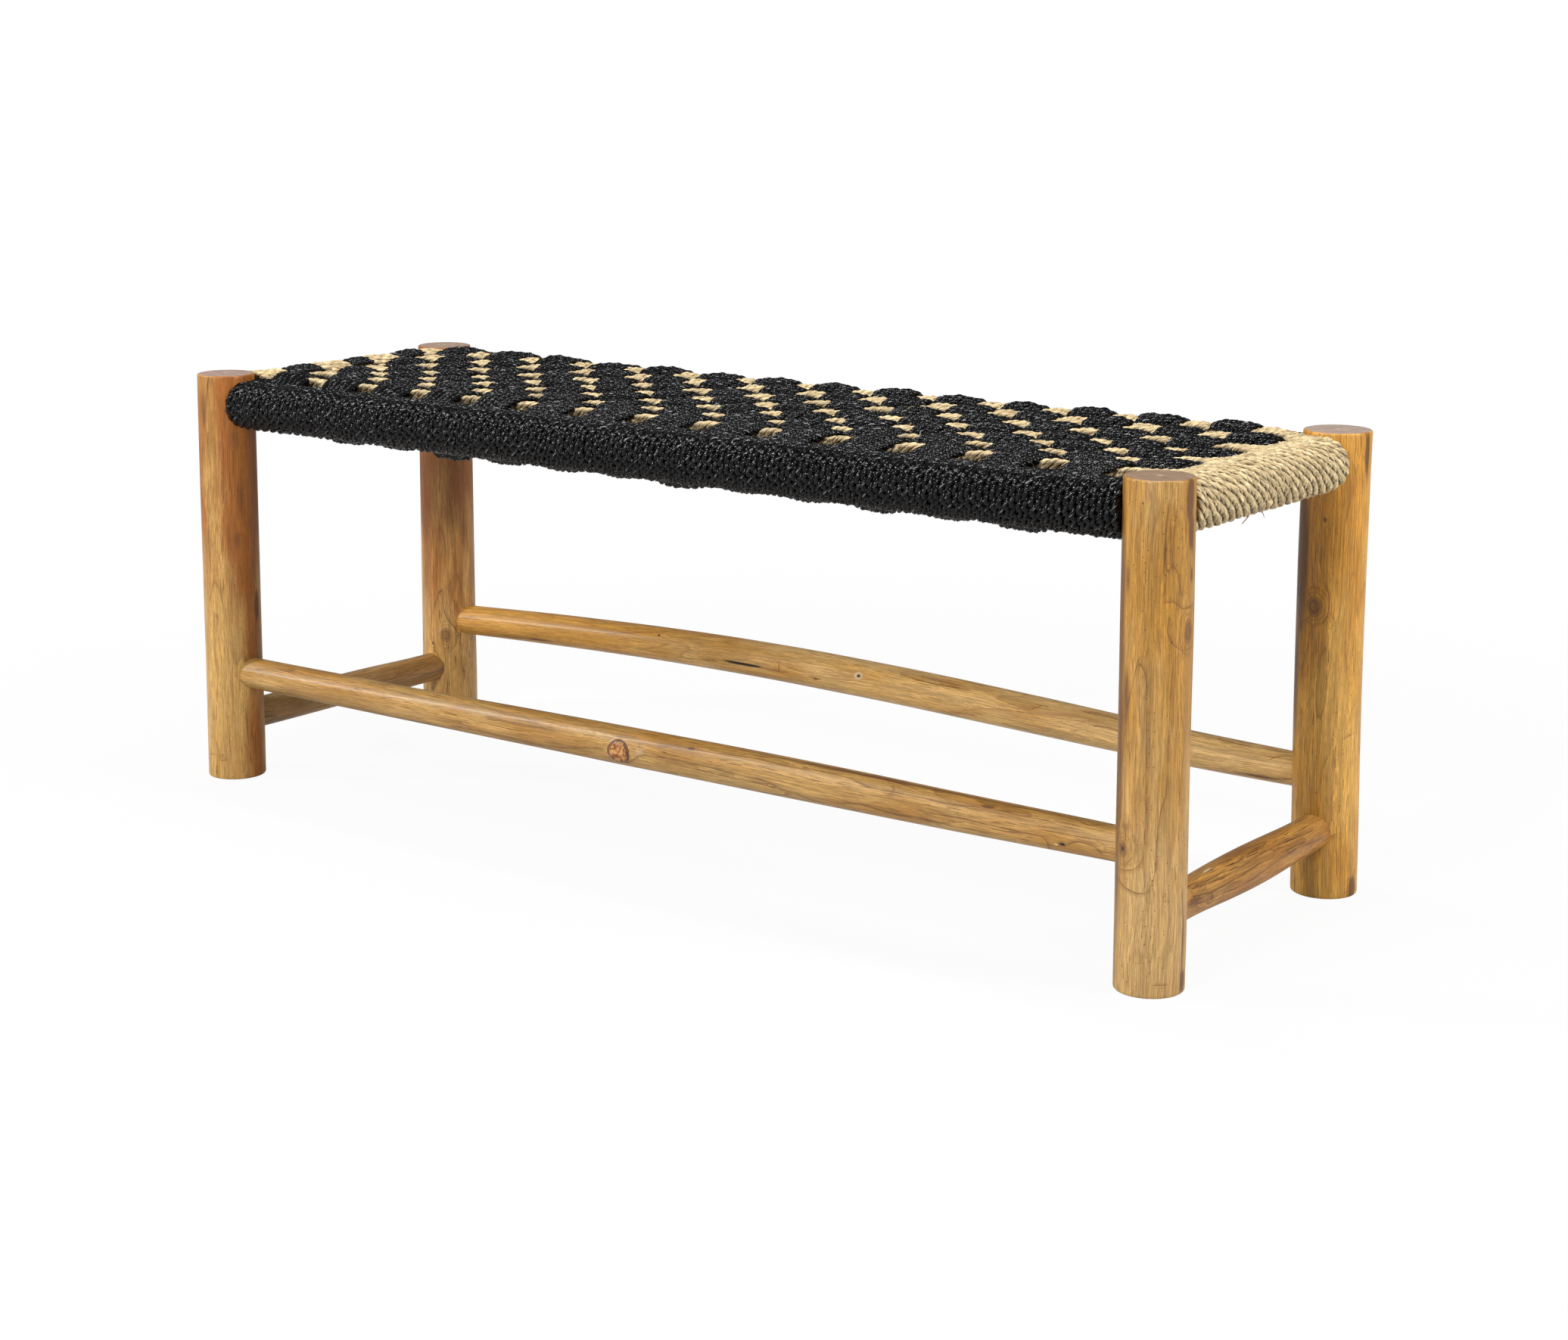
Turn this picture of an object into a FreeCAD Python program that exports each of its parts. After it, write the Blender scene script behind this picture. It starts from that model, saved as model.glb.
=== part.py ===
# Rustic bench of round branches: four legs, four stretchers and four seat rails, joined by round tenons in
# drilled mortises, with a seat of black and natural seagrass cord woven over the rails.
# The front is -Y, the left is -X, up is +Z, and the origin is on the floor under the middle of the bench.
import FreeCAD, Part
import Sketcher
import math
import os
from FreeCAD import Placement, Rotation, Vector

doc = FreeCAD.newDocument("woven_bench")
sheet = doc.addObject("Spreadsheet::Sheet", "Sizes")

# Driving sizes in millimetres, each with its name in the sheet and its meaning
FRAME_SIZES = [
    ("leg_spacing", 1138.0, "leg axis to leg axis along the bench"),
    ("front_row", 169.0, "front leg axes ahead of the middle"),
    ("back_row", 167.9, "back leg axes behind the middle"),
    ("leg_height", 442.4, "floor to the sawn top of a leg"),
    ("leg_edge_ease", 1.8, "rounding of a leg's two sawn edges"),
    ("leg_front_left_top", 60.5, "front left leg across its top"),
    ("leg_front_left_foot", 61.5, "front left leg across its foot"),
    ("leg_front_right_top", 61.0, "front right leg across its top"),
    ("leg_front_right_foot", 61.1, "front right leg across its foot"),
    ("leg_back_left_top", 60.7, "back left leg across its top"),
    ("leg_back_left_foot", 64.0, "back left leg across its foot"),
    ("leg_back_right_top", 63.4, "back right leg across its top"),
    ("leg_back_right_foot", 62.2, "back right leg across its foot"),
    ("stretcher_tenon", 24.0, "stretcher tenon diameter"),
    ("rail_tenon", 24.0, "seat rail tenon diameter"),
    ("tenon_past_axis", 8.0, "tenon end beyond the leg's axis"),
    ("crossing_wall", 3.0, "wood left between two tenons that meet in a leg"),
    ("mortise_clearance", 0.15, "mortise wall to tenon"),
    ("mortise_end_gap", 1.0, "mortise bottom to tenon end"),
    ("shoulder_clearance", 0.15, "scribed stretcher shoulder to leg"),
    ("shoulder_depth", 10.0, "stretcher or cord past a leg's surface before it is cut to the leg"),
    ("tenon_root", 6.0, "tenon root inside the stretcher"),
    ("long_rail_drop", 32.4, "leg top down to the axis of the front and back rails"),
    ("end_rail_rise", 3.0, "left and right rail axes above those of the front and back rails"),
    ("rail_diameter", 40.0, "seat rail between its shoulders"),
    ("rail_shoulder", 16.0, "length of a rail's rounded shoulder"),
    ("cord_clearance", 0.3, "cord to wood"),
    ("cord_layer", 6.7, "thickness of one layer of cord"),
    ("seat_crown", 5.0, "rise of the upper weave between the long rails"),
    ("seat_sag", 5.0, "drop of the lower weave between the long rails"),
    ("nail_diameter", 1.8, "brad shank"),
    ("nail_head", 2.6, "brad head across"),
    ("nail_head_height", 0.8, "brad head thickness"),
    ("nail_length", 30.0, "brad from head to tip"),
    ("nail_spread", 16.4, "height between the two brads of a joint"),
    ("tack_diameter", 1.8, "cord tack shank"),
    ("tack_head", 7.0, "cord tack head across"),
    ("tack_head_height", 1.2, "cord tack head thickness"),
    ("tack_length", 14.0, "cord tack below its head"),
    ("tack_inset", 60.0, "cord tack from the end leg's axis"),
    ("driven_clearance", 0.05, "brad or tack to the wood round it"),
]

# Sizes that follow from the driving ones, so that the seat keeps its place below the leg tops
SEAT_SIZES = [
    ("long_rail_height", "=leg_height - long_rail_drop", "floor to the axis of the front and back rails"),
    ("end_rail_height", "=long_rail_height + end_rail_rise", "floor to the axis of the left and right rails"),
]

# Each stretcher's axis height and diameter at five places, evenly spaced from its left or front end
STATIONS = ("start", "early", "middle", "late", "finish")
STRETCHER_SIZES = {
    "stretcher_front": ((116.5, 118.0, 119.5, 120.0, 120.5), (33.0, 35.0, 37.0, 36.5, 31.5)),
    "stretcher_back": ((117.5, 127.5, 129.2, 121.2, 112.8), (33.5, 37.5, 39.0, 38.0, 33.0)),
    "stretcher_left": ((62.0, 62.0, 62.5, 62.0, 62.0), (33.0, 33.5, 34.0, 33.5, 33.0)),
    "stretcher_right": ((60.5, 61.5, 62.0, 63.5, 64.0), (33.0, 35.0, 38.0, 35.5, 34.0)),
}


def fill_sheet():
    rows = FRAME_SIZES + SEAT_SIZES
    for name, (heights, diameters) in STRETCHER_SIZES.items():
        for station, height, diameter in zip(STATIONS, heights, diameters):
            rows.append((f"{name}_{station}_height", height, f"{name} axis height, {station}"))
            rows.append((f"{name}_{station}_across", diameter, f"{name} diameter, {station}"))
    for row, (alias, value, meaning) in enumerate(rows, start=1):
        sheet.set(f"A{row}", meaning)
        sheet.set(f"B{row}", str(value))
        sheet.setAlias(f"B{row}", alias)
    doc.recompute()


fill_sheet()


# Sketch and feature helpers. Every size is an expression on the sheet.
def value_of(expression):
    return float(sheet.evalExpression(expression))


def new_sketch(body, role, name, offset=None):
    plane = next(item for item in body.Origin.OriginFeatures if item.Role == role)
    sketch = body.newObject("Sketcher::SketchObject", name)
    sketch.AttachmentSupport = (plane, [""])
    sketch.MapMode = "FlatFace"
    if offset:
        sketch.setExpression("AttachmentOffset.Base.z", offset)
    return sketch


def dimension(sketch, constraint, expression):
    index = sketch.addConstraint(constraint)
    label = f"size_{index}"
    sketch.renameConstraint(index, label)
    sketch.setExpression(f"Constraints.{label}", expression)


def place_point(sketch, geometry, end, across, up):
    for kind, axis, expression in (("DistanceX", -2, across), ("DistanceY", -1, up)):
        if expression == "0":
            sketch.addConstraint(Sketcher.Constraint("PointOnObject", geometry, end, axis))
        else:
            start = value_of(expression)
            dimension(sketch, Sketcher.Constraint(kind, -1, 1, geometry, end, start), expression)


def add_circle(sketch, across, up, radius):
    centre = Vector(value_of(across), value_of(up), 0)
    size = value_of(radius)
    geometry = sketch.addGeometry(Part.Circle(centre, Vector(0, 0, 1), size), False)
    place_point(sketch, geometry, 3, across, up)
    dimension(sketch, Sketcher.Constraint("Radius", geometry, size), radius)


def add_arc(sketch, first, second, radius, hollow):
    """Arc between two points of a clockwise outline, bulging outwards, or inwards where it is hollow."""
    size = value_of(radius)
    chord = second - first
    reach = math.sqrt(size ** 2 - chord.Length ** 2 / 4)
    inward = Vector(chord.y, -chord.x, 0).normalize()
    centre = (first + second) * 0.5 + inward * (-reach if hollow else reach)
    angles = [math.atan2(point.y - centre.y, point.x - centre.x) for point in (first, second)]
    low, high = angles if hollow else reversed(angles)
    circle = Part.Circle(centre, Vector(0, 0, 1), size)
    geometry = sketch.addGeometry(Part.ArcOfCircle(circle, low, high), False)
    dimension(sketch, Sketcher.Constraint("Radius", geometry, size), radius)
    return (geometry, 1, 2) if hollow else (geometry, 2, 1)


def add_outline(sketch, corners, arcs=None, hollows=None):
    """Closed clockwise outline. arcs and hollows give the round edges their radius, by edge number."""
    arcs = arcs or {}
    hollows = hollows or {}
    points = [Vector(value_of(across), value_of(up), 0) for across, up in corners]
    ends = []
    for number, first in enumerate(points):
        second = points[(number + 1) % len(points)]
        if number in arcs:
            ends.append(add_arc(sketch, first, second, arcs[number], False))
        elif number in hollows:
            ends.append(add_arc(sketch, first, second, hollows[number], True))
        else:
            ends.append((sketch.addGeometry(Part.LineSegment(first, second), False), 1, 2))
    for number, (geometry, _, finish) in enumerate(ends):
        following, following_start, _ = ends[(number + 1) % len(ends)]
        join = Sketcher.Constraint("Coincident", geometry, finish, following, following_start)
        sketch.addConstraint(join)
    for (geometry, start, _), (across, up) in zip(ends, corners):
        place_point(sketch, geometry, start, across, up)


def new_body(name):
    return doc.addObject("PartDesign::Body", name)


def place_body(body, across=None, along=None, up=None, quarter_turn=False):
    if quarter_turn:
        body.Placement = Placement(Vector(), Rotation(Vector(0, 0, 1), 90))
    for axis, expression in (("x", across), ("y", along), ("z", up)):
        if expression:
            body.setExpression(f"Placement.Base.{axis}", expression)


def cut_through(body, name, sketch, backwards=False, both_ways=False):
    pocket = body.newObject("PartDesign::Pocket", name)
    pocket.Profile = sketch
    pocket.Type = "ThroughAll"
    pocket.Reversed = backwards
    pocket.Midplane = both_ways
    return pocket


def revolve(body, name, sketch, axis, angle=360, backwards=False):
    turned = body.newObject("PartDesign::Revolution", name)
    turned.Profile = sketch
    turned.ReferenceAxis = (sketch, [axis])
    turned.Angle = angle
    turned.Reversed = backwards
    return turned


# Where the legs stand, and how thick each one is at a height
LEGS = {
    "leg_front_left": (-1, -1),
    "leg_front_right": (1, -1),
    "leg_back_left": (-1, 1),
    "leg_back_right": (1, 1),
}
HALF_LENGTH = "Sizes.leg_spacing / 2"
HALF_DEPTH = "(Sizes.front_row + Sizes.back_row) / 2"
DEPTH_MIDDLE = "(Sizes.back_row - Sizes.front_row) / 2"
ROW = {-1: "-Sizes.front_row", 1: "Sizes.back_row"}


def leg_radius(leg, height):
    foot, top = f"Sizes.{leg}_foot", f"Sizes.{leg}_top"
    return f"({foot} + ({top} - {foot}) * ({height}) / Sizes.leg_height) / 2"


# The long pieces join the legs of one row, and the short pieces join a front leg to a back leg.
# Each entry gives its two legs, and whether it runs along the bench's depth.
SPANS = {
    "front": ("leg_front_left", "leg_front_right", False),
    "back": ("leg_back_left", "leg_back_right", False),
    "left": ("leg_front_left", "leg_back_left", True),
    "right": ("leg_front_right", "leg_back_right", True),
}


def half_span(side):
    return HALF_DEPTH if SPANS[side][2] else HALF_LENGTH


def place_span(body, side, height=None):
    leg, _, short = SPANS[side]
    across, along = LEGS[leg]
    if short:
        place_body(body, f"{across} * {HALF_LENGTH}", DEPTH_MIDDLE, height, quarter_turn=True)
    else:
        place_body(body, along=ROW[along], up=height)


def rail_height(side):
    return "Sizes.end_rail_height" if SPANS[side][2] else "Sizes.long_rail_height"


def rail_tenon_end(side):
    """Reach of a rail's tenon from the middle of the rail. Short rails stop before the long rails' tenons."""
    if SPANS[side][2]:
        return f"{HALF_DEPTH} - Sizes.rail_tenon / 2 - Sizes.crossing_wall"
    return f"{HALF_LENGTH} + Sizes.tenon_past_axis"


def stretcher_height(side, station):
    return f"Sizes.stretcher_{side}_{station}_height"


# Legs: turned blanks with eased ends, drilled for two long and two short pieces
def make_leg(name, across, along):
    body = new_body(f"{name}_blank")
    profile = new_sketch(body, "XZ_Plane", f"{name}_profile")
    foot, top = f"Sizes.{name}_foot / 2", f"Sizes.{name}_top / 2"
    add_outline(profile, [("0", "0"), ("0", "Sizes.leg_height"), (top, "Sizes.leg_height"), (foot, "0")])
    branch = revolve(body, f"{name}_branch", profile, "V_Axis")
    doc.recompute()
    rims = [
        f"Edge{number}"
        for number, edge in enumerate(branch.Shape.Edges, start=1)
        if len(edge.Vertexes) == 1 and edge.BoundBox.ZLength < 0.01
    ]
    eased = body.newObject("PartDesign::Fillet", f"{name}_eased")
    eased.Base = (branch, rims)
    eased.setExpression("Radius", "Sizes.leg_edge_ease")
    doc.recompute()

    row = "front" if along < 0 else "back"
    end = "left" if across < 0 else "right"
    station = "start" if across < 0 else "finish"
    end_station = "start" if along < 0 else "finish"
    stretcher_hole = "Sizes.stretcher_tenon / 2 + Sizes.mortise_clearance"
    rail_hole = "Sizes.rail_tenon / 2 + Sizes.mortise_clearance"
    bottom = "(Sizes.tenon_past_axis + Sizes.mortise_end_gap)"

    long_holes = new_sketch(body, "YZ_Plane", f"{name}_long_holes", f"{across} * {bottom}")
    add_circle(long_holes, "0", stretcher_height(row, station), stretcher_hole)
    add_circle(long_holes, "0", rail_height(row), rail_hole)
    cut_through(body, f"{name}_long_mortises", long_holes, backwards=across < 0)

    short_hole = new_sketch(body, "XZ_Plane", f"{name}_short_hole", f"{-along} * {bottom}")
    add_circle(short_hole, "0", stretcher_height(end, end_station), stretcher_hole)
    cut_through(body, f"{name}_short_mortise", short_hole, backwards=along > 0)

    stop = "(Sizes.rail_tenon / 2 + Sizes.crossing_wall - Sizes.mortise_end_gap)"
    rail_seat = new_sketch(body, "XZ_Plane", f"{name}_rail_hole", f"{along} * {stop}")
    add_circle(rail_seat, "0", rail_height(end), rail_hole)
    cut_through(body, f"{name}_rail_mortise", rail_seat, backwards=along > 0)
    place_body(body, f"{across} * {HALF_LENGTH}", ROW[along])
    return body


# Stretchers: crooked branches, scribed to the legs, with a round tenon at each end
def make_stretcher(side):
    name = f"stretcher_{side}"
    body = new_body(f"{name}_blank")
    first_leg, last_leg, _ = SPANS[side]
    reach = {
        -1: f"({half_span(side)} - {leg_radius(first_leg, stretcher_height(side, 'start'))})",
        1: f"({half_span(side)} - {leg_radius(last_leg, stretcher_height(side, 'finish'))})",
    }
    first = f"(-{reach[-1]} - Sizes.shoulder_depth)"
    last = f"({reach[1]} + Sizes.shoulder_depth)"
    sections = []
    for number, station in enumerate(STATIONS):
        share = number / (len(STATIONS) - 1)
        ring = new_sketch(body, "YZ_Plane", f"{name}_{station}", f"{first} + {share} * ({last} - {first})")
        add_circle(ring, "0", stretcher_height(side, station), f"Sizes.{name}_{station}_across / 2")
        sections.append(ring)
    branch = body.newObject("PartDesign::AdditiveLoft", f"{name}_branch")
    branch.Profile = sections[0]
    branch.Sections = [(ring, "") for ring in sections[1:]]

    scribe = new_sketch(body, "XY_Plane", f"{name}_scribe")
    for direction, leg, station in ((-1, first_leg, "start"), (1, last_leg, "finish")):
        radius = f"{leg_radius(leg, stretcher_height(side, station))} + Sizes.shoulder_clearance"
        add_circle(scribe, f"{direction} * {half_span(side)}", "0", radius)
    cut_through(body, f"{name}_shoulders", scribe, both_ways=True)

    for direction, station in ((-1, "start"), (1, "finish")):
        root = f"({reach[direction]} - Sizes.tenon_root)"
        end = new_sketch(body, "YZ_Plane", f"{name}_{station}_tenon_ring", f"{direction} * {root}")
        add_circle(end, "0", stretcher_height(side, station), "Sizes.stretcher_tenon / 2")
        tenon = body.newObject("PartDesign::Pad", f"{name}_{station}_tenon")
        tenon.Profile = end
        tenon.Reversed = direction < 0
        tenon.setExpression("Length", f"{half_span(side)} + Sizes.tenon_past_axis - {root}")
    place_span(body, side)
    return body


# Seat rails and the cord rolled over them share one shoulder shape
SHOULDER_RISE = "(Sizes.rail_diameter - Sizes.rail_tenon) / 2"
SHOULDER_ARC = f"(Sizes.rail_shoulder ^ 2 + ({SHOULDER_RISE}) ^ 2) / (2 * {SHOULDER_RISE})"


def rail_surface(side, direction):
    """Distance from the middle of a rail to the surface of the leg at one end."""
    leg = SPANS[side][0] if direction < 0 else SPANS[side][1]
    return f"({half_span(side)} - {leg_radius(leg, rail_height(side))})"


def shoulder_line(side, direction, gap):
    """The two ends of a rounded shoulder, standing gap outside the rail."""
    root = f"{direction} * {rail_surface(side, direction)}"
    crest = f"{direction} * ({rail_surface(side, direction)} - Sizes.rail_shoulder)"
    return (root, f"Sizes.rail_tenon / 2 + {gap}"), (crest, f"Sizes.rail_diameter / 2 + {gap}")


def make_rail(side):
    name = f"seat_rail_{side}"
    body = new_body(f"{name}_blank")
    profile = new_sketch(body, "XZ_Plane", f"{name}_profile")
    end = rail_tenon_end(side)
    left_root, left_crest = shoulder_line(side, -1, "0")
    right_root, right_crest = shoulder_line(side, 1, "0")
    corners = [
        (f"-({end})", "0"),
        (f"-({end})", "Sizes.rail_tenon / 2"),
        left_root,
        left_crest,
        right_crest,
        right_root,
        (end, "Sizes.rail_tenon / 2"),
        (end, "0"),
    ]
    add_outline(profile, corners, {2: SHOULDER_ARC, 4: SHOULDER_ARC})
    revolve(body, f"{name}_pole", profile, "H_Axis")
    place_span(body, side, rail_height(side))
    return body


def make_roll(side):
    """Cord over the outer half of a rail, from the upper weave to the lower one, cut clear of the legs."""
    name = f"cord_roll_{side}"
    body = new_body(name)
    profile = new_sketch(body, "XZ_Plane", f"{name}_profile")
    inner, outer = "Sizes.cord_clearance", "Sizes.cord_clearance + Sizes.cord_layer"
    ends = {}
    for direction in (-1, 1):
        ends[direction] = f"{direction} * ({rail_surface(side, direction)} + Sizes.shoulder_depth)"
    left_root, left_crest = shoulder_line(side, -1, outer)
    right_root, right_crest = shoulder_line(side, 1, outer)
    inner_left_root, inner_left_crest = shoulder_line(side, -1, inner)
    inner_right_root, inner_right_crest = shoulder_line(side, 1, inner)
    corners = [
        (ends[-1], inner_left_root[1]),
        (ends[-1], left_root[1]),
        left_root,
        left_crest,
        right_crest,
        right_root,
        (ends[1], right_root[1]),
        (ends[1], inner_right_root[1]),
        inner_right_root,
        inner_right_crest,
        inner_left_crest,
        inner_left_root,
    ]
    arcs = {2: SHOULDER_ARC, 4: SHOULDER_ARC}
    hollows = {8: SHOULDER_ARC, 10: SHOULDER_ARC}
    add_outline(profile, corners, arcs, hollows)
    revolve(body, f"{name}_turn", profile, "H_Axis", 180, backwards=side in ("back", "left"))
    clear_legs = new_sketch(body, "XY_Plane", f"{name}_leg_rings")
    for direction, leg in ((-1, SPANS[side][0]), (1, SPANS[side][1])):
        radius = f"{leg_radius(leg, rail_height(side))} + Sizes.cord_clearance"
        add_circle(clear_legs, f"{direction} * {half_span(side)}", "0", radius)
    cut_through(body, f"{name}_leg_gaps", clear_legs, both_ways=True)
    place_span(body, side, rail_height(side))
    return body


# The two layers of the weave, crowned between the long rails and notched round the legs
ROLL_RADIUS = "(Sizes.rail_diameter / 2 + Sizes.cord_clearance + Sizes.cord_layer)"
RAIL_CLEAR = "(Sizes.rail_diameter / 2 + Sizes.cord_clearance)"


def make_layer(name, flat, edge, bulge, upward):
    body = new_body(name)
    profile = new_sketch(body, "YZ_Plane", f"{name}_profile")
    arc = f"(({HALF_DEPTH}) ^ 2 + {bulge} ^ 2) / (2 * {bulge})"
    left, right = f"-{HALF_DEPTH}", HALF_DEPTH
    if upward:
        add_outline(profile, [(left, flat), (left, edge), (right, edge), (right, flat)], {1: arc})
    else:
        add_outline(profile, [(left, edge), (left, flat), (right, flat), (right, edge)], {3: arc})
    slab = body.newObject("PartDesign::Pad", f"{name}_slab")
    slab.Profile = profile
    slab.Midplane = True
    slab.setExpression("Length", "Sizes.leg_spacing")
    notches = new_sketch(body, "XY_Plane", f"{name}_notches")
    for leg, (across, along) in LEGS.items():
        radius = f"{leg_radius(leg, edge)} + Sizes.cord_clearance"
        add_circle(notches, f"{across} * {HALF_LENGTH}", f"{along} * {HALF_DEPTH}", radius)
    cut_through(body, f"{name}_corners", notches, both_ways=True)
    place_body(body, along=DEPTH_MIDDLE)
    return body


def make_layers():
    upper_edge = f"Sizes.long_rail_height + {ROLL_RADIUS}"
    lower_edge = f"Sizes.long_rail_height - {ROLL_RADIUS}"
    upper = make_layer(
        "woven_seat_top", f"Sizes.end_rail_height + {RAIL_CLEAR}", upper_edge, "Sizes.seat_crown", True
    )
    lower = make_layer(
        "woven_seat_underside", f"Sizes.long_rail_height - {RAIL_CLEAR}", lower_edge, "Sizes.seat_sag", False
    )
    return [upper, lower]


# Brads and tacks: a shank with a flat head, and the hole that each is driven into
def make_cylinder(name, radius, height, tip, heading):
    """Cylinder from a tip point along heading, with all its sizes on the sheet."""
    cylinder = doc.addObject("Part::Cylinder", name)
    cylinder.Placement = Placement(Vector(), Rotation(Vector(0, 0, 1), Vector(*heading)))
    cylinder.setExpression("Radius", radius)
    cylinder.setExpression("Height", height)
    for axis, expression in zip("xyz", tip):
        cylinder.setExpression(f"Placement.Base.{axis}", expression)
    return cylinder


def make_driven_pin(name, kind, axis_point, heading, head_seat, shank_length):
    """Pin driven towards axis_point against heading. head_seat is how far from there its head sits."""
    def along(distance):
        return [f"{start} + {part} * ({distance})" for start, part in zip(axis_point, heading)]

    tip = along(f"{head_seat} - {shank_length}")
    shank_radius, head_radius = f"Sizes.{kind}_diameter / 2", f"Sizes.{kind}_head / 2"
    gap = "Sizes.driven_clearance"
    shank = make_cylinder(f"{name}_shank", shank_radius, shank_length, tip, heading)
    head = make_cylinder(f"{name}_head", head_radius, f"Sizes.{kind}_head_height", along(head_seat), heading)
    pin = doc.addObject("Part::Fuse", name)
    pin.Base, pin.Tool = shank, head
    hole_tip = along(f"{head_seat} - {shank_length} - {gap}")
    bore_depth = f"{shank_length} + {gap}"
    bore = make_cylinder(f"{name}_bore", f"{shank_radius} + {gap}", bore_depth, hole_tip, heading)
    seat_depth = f"2 * Sizes.{kind}_head_height"
    seat = make_cylinder(f"{name}_seat", f"{head_radius} + {gap}", seat_depth, along(head_seat), heading)
    hole = doc.addObject("Part::Fuse", f"{name}_hole")
    hole.Base, hole.Tool = bore, seat
    return pin, hole


def make_nails():
    """Two brads at each short stretcher's tenon, driven from the leg's inner corner."""
    nails, holes = [], {}
    slant = math.sqrt(0.5)
    for leg, (across, along) in LEGS.items():
        side = "left" if across < 0 else "right"
        height = stretcher_height(side, "start" if along < 0 else "finish")
        for label, sign in (("lower", -1), ("upper", 1)):
            level = f"{height} + {sign} * Sizes.nail_spread / 2"
            axis_point = (f"{across} * {HALF_LENGTH}", ROW[along], level)
            seat = f"{leg_radius(leg, level)} - Sizes.nail_head_height"
            shank = "(Sizes.nail_length - Sizes.nail_head_height)"
            heading = (-across * slant, -along * slant, 0)
            pin, hole = make_driven_pin(f"{leg}_{label}_nail", "nail", axis_point, heading, seat, shank)
            nails.append(pin)
            holes.setdefault(leg, []).append(hole)
            holes.setdefault(f"stretcher_{side}", []).append(hole)
    return nails, holes


def make_tacks():
    """One tack on the hidden side of each rail, where an end of cord is held."""
    tacks, holes = [], {}
    near_left = f"-{HALF_LENGTH} + Sizes.tack_inset"
    near_right = f"{HALF_LENGTH} - Sizes.tack_inset"
    spots = {
        "front": ((near_left, ROW[-1]), (0, 1, 0)),
        "back": ((near_right, ROW[1]), (0, -1, 0)),
        "left": ((f"-{HALF_LENGTH}", f"{ROW[-1]} + Sizes.tack_inset"), (1, 0, 0)),
        "right": ((HALF_LENGTH, f"{ROW[1]} - Sizes.tack_inset"), (-1, 0, 0)),
    }
    for side, (spot, heading) in spots.items():
        axis_point = (*spot, rail_height(side))
        seat = "Sizes.rail_diameter / 2 + Sizes.driven_clearance"
        pin, hole = make_driven_pin(f"{side}_tack", "tack", axis_point, heading, seat, "Sizes.tack_length")
        tacks.append(pin)
        holes[f"seat_rail_{side}"] = [hole]
    return tacks, holes


def gather(name, pieces):
    group = doc.addObject("Part::Compound", name)
    group.Links = pieces
    return group


def drill(name, blank, holes):
    tool = gather(f"{name}_holes", holes)
    drilled = doc.addObject("Part::Cut", name)
    drilled.Base, drilled.Tool = blank, tool
    return drilled


def make_bench():
    blanks = {leg: make_leg(leg, *corner) for leg, corner in LEGS.items()}
    for side in SPANS:
        blanks[f"stretcher_{side}"] = make_stretcher(side)
        blanks[f"seat_rail_{side}"] = make_rail(side)
    nails, nail_holes = make_nails()
    tacks, tack_holes = make_tacks()
    holes = {**nail_holes, **tack_holes}
    nodes = [gather("tenon_nails", nails), gather("cord_tacks", tacks)]
    for name, blank in blanks.items():
        if name in holes:
            nodes.append(drill(name, blank, holes[name]))
        else:
            blank.Label = name
            nodes.append(blank)
    nodes += [make_roll(side) for side in SPANS]
    nodes += make_layers()
    return nodes


def check_document(nodes):
    for item in doc.Objects:
        if {"Invalid", "Error"} & set(item.State):
            raise RuntimeError(f"{item.Label} failed: {item.State}")
        if item.TypeId == "PartDesign::Pocket" and item.Shape.Volume > item.BaseFeature.Shape.Volume - 1:
            raise RuntimeError(f"{item.Label} cuts nothing")
    for node in nodes:
        if node.Shape.isNull() or not node.Shape.isValid():
            raise RuntimeError(f"{node.Label} has a bad shape")


def write_parts(nodes):
    os.makedirs("parts", exist_ok=True)
    for node in nodes:
        node.Shape.exportStep(f"parts/{node.Label}.step")
        box = node.Shape.optimalBoundingBox()
        size = f"{box.XLength:.1f} x {box.YLength:.1f} x {box.ZLength:.1f}"
        print(f"{node.Label}: {len(node.Shape.Solids)} solids, {node.Shape.Volume / 1000:.1f} cm3, {size}")


bench = make_bench()
doc.recompute()
check_document(bench)
write_parts(bench)
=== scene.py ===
# Rustic bench of peeled branches with a checker-woven seat of black and natural seagrass cord.
# Lengths are in millimetres and angles in degrees, and turn to metres and radians where a mesh is made.
import math

import bpy
import numpy as np
from mathutils import Euler, Matrix


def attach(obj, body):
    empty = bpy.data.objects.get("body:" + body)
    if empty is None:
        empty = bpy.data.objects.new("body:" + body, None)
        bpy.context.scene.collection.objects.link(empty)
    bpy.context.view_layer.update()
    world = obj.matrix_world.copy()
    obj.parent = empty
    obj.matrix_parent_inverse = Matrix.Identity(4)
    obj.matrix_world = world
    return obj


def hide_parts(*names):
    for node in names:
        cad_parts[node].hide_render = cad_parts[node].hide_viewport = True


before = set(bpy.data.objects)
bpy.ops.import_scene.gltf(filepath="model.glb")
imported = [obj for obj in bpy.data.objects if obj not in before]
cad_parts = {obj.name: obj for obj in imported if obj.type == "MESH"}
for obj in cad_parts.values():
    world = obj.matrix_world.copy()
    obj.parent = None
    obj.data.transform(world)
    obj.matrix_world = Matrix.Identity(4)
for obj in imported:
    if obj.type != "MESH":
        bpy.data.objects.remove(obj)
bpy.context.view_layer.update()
bpy.ops.object.select_all(action="DESELECT")
scene = bpy.context.scene
MM = 0.001
WHITE = (1.0, 1.0, 1.0, 1.0)

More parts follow.
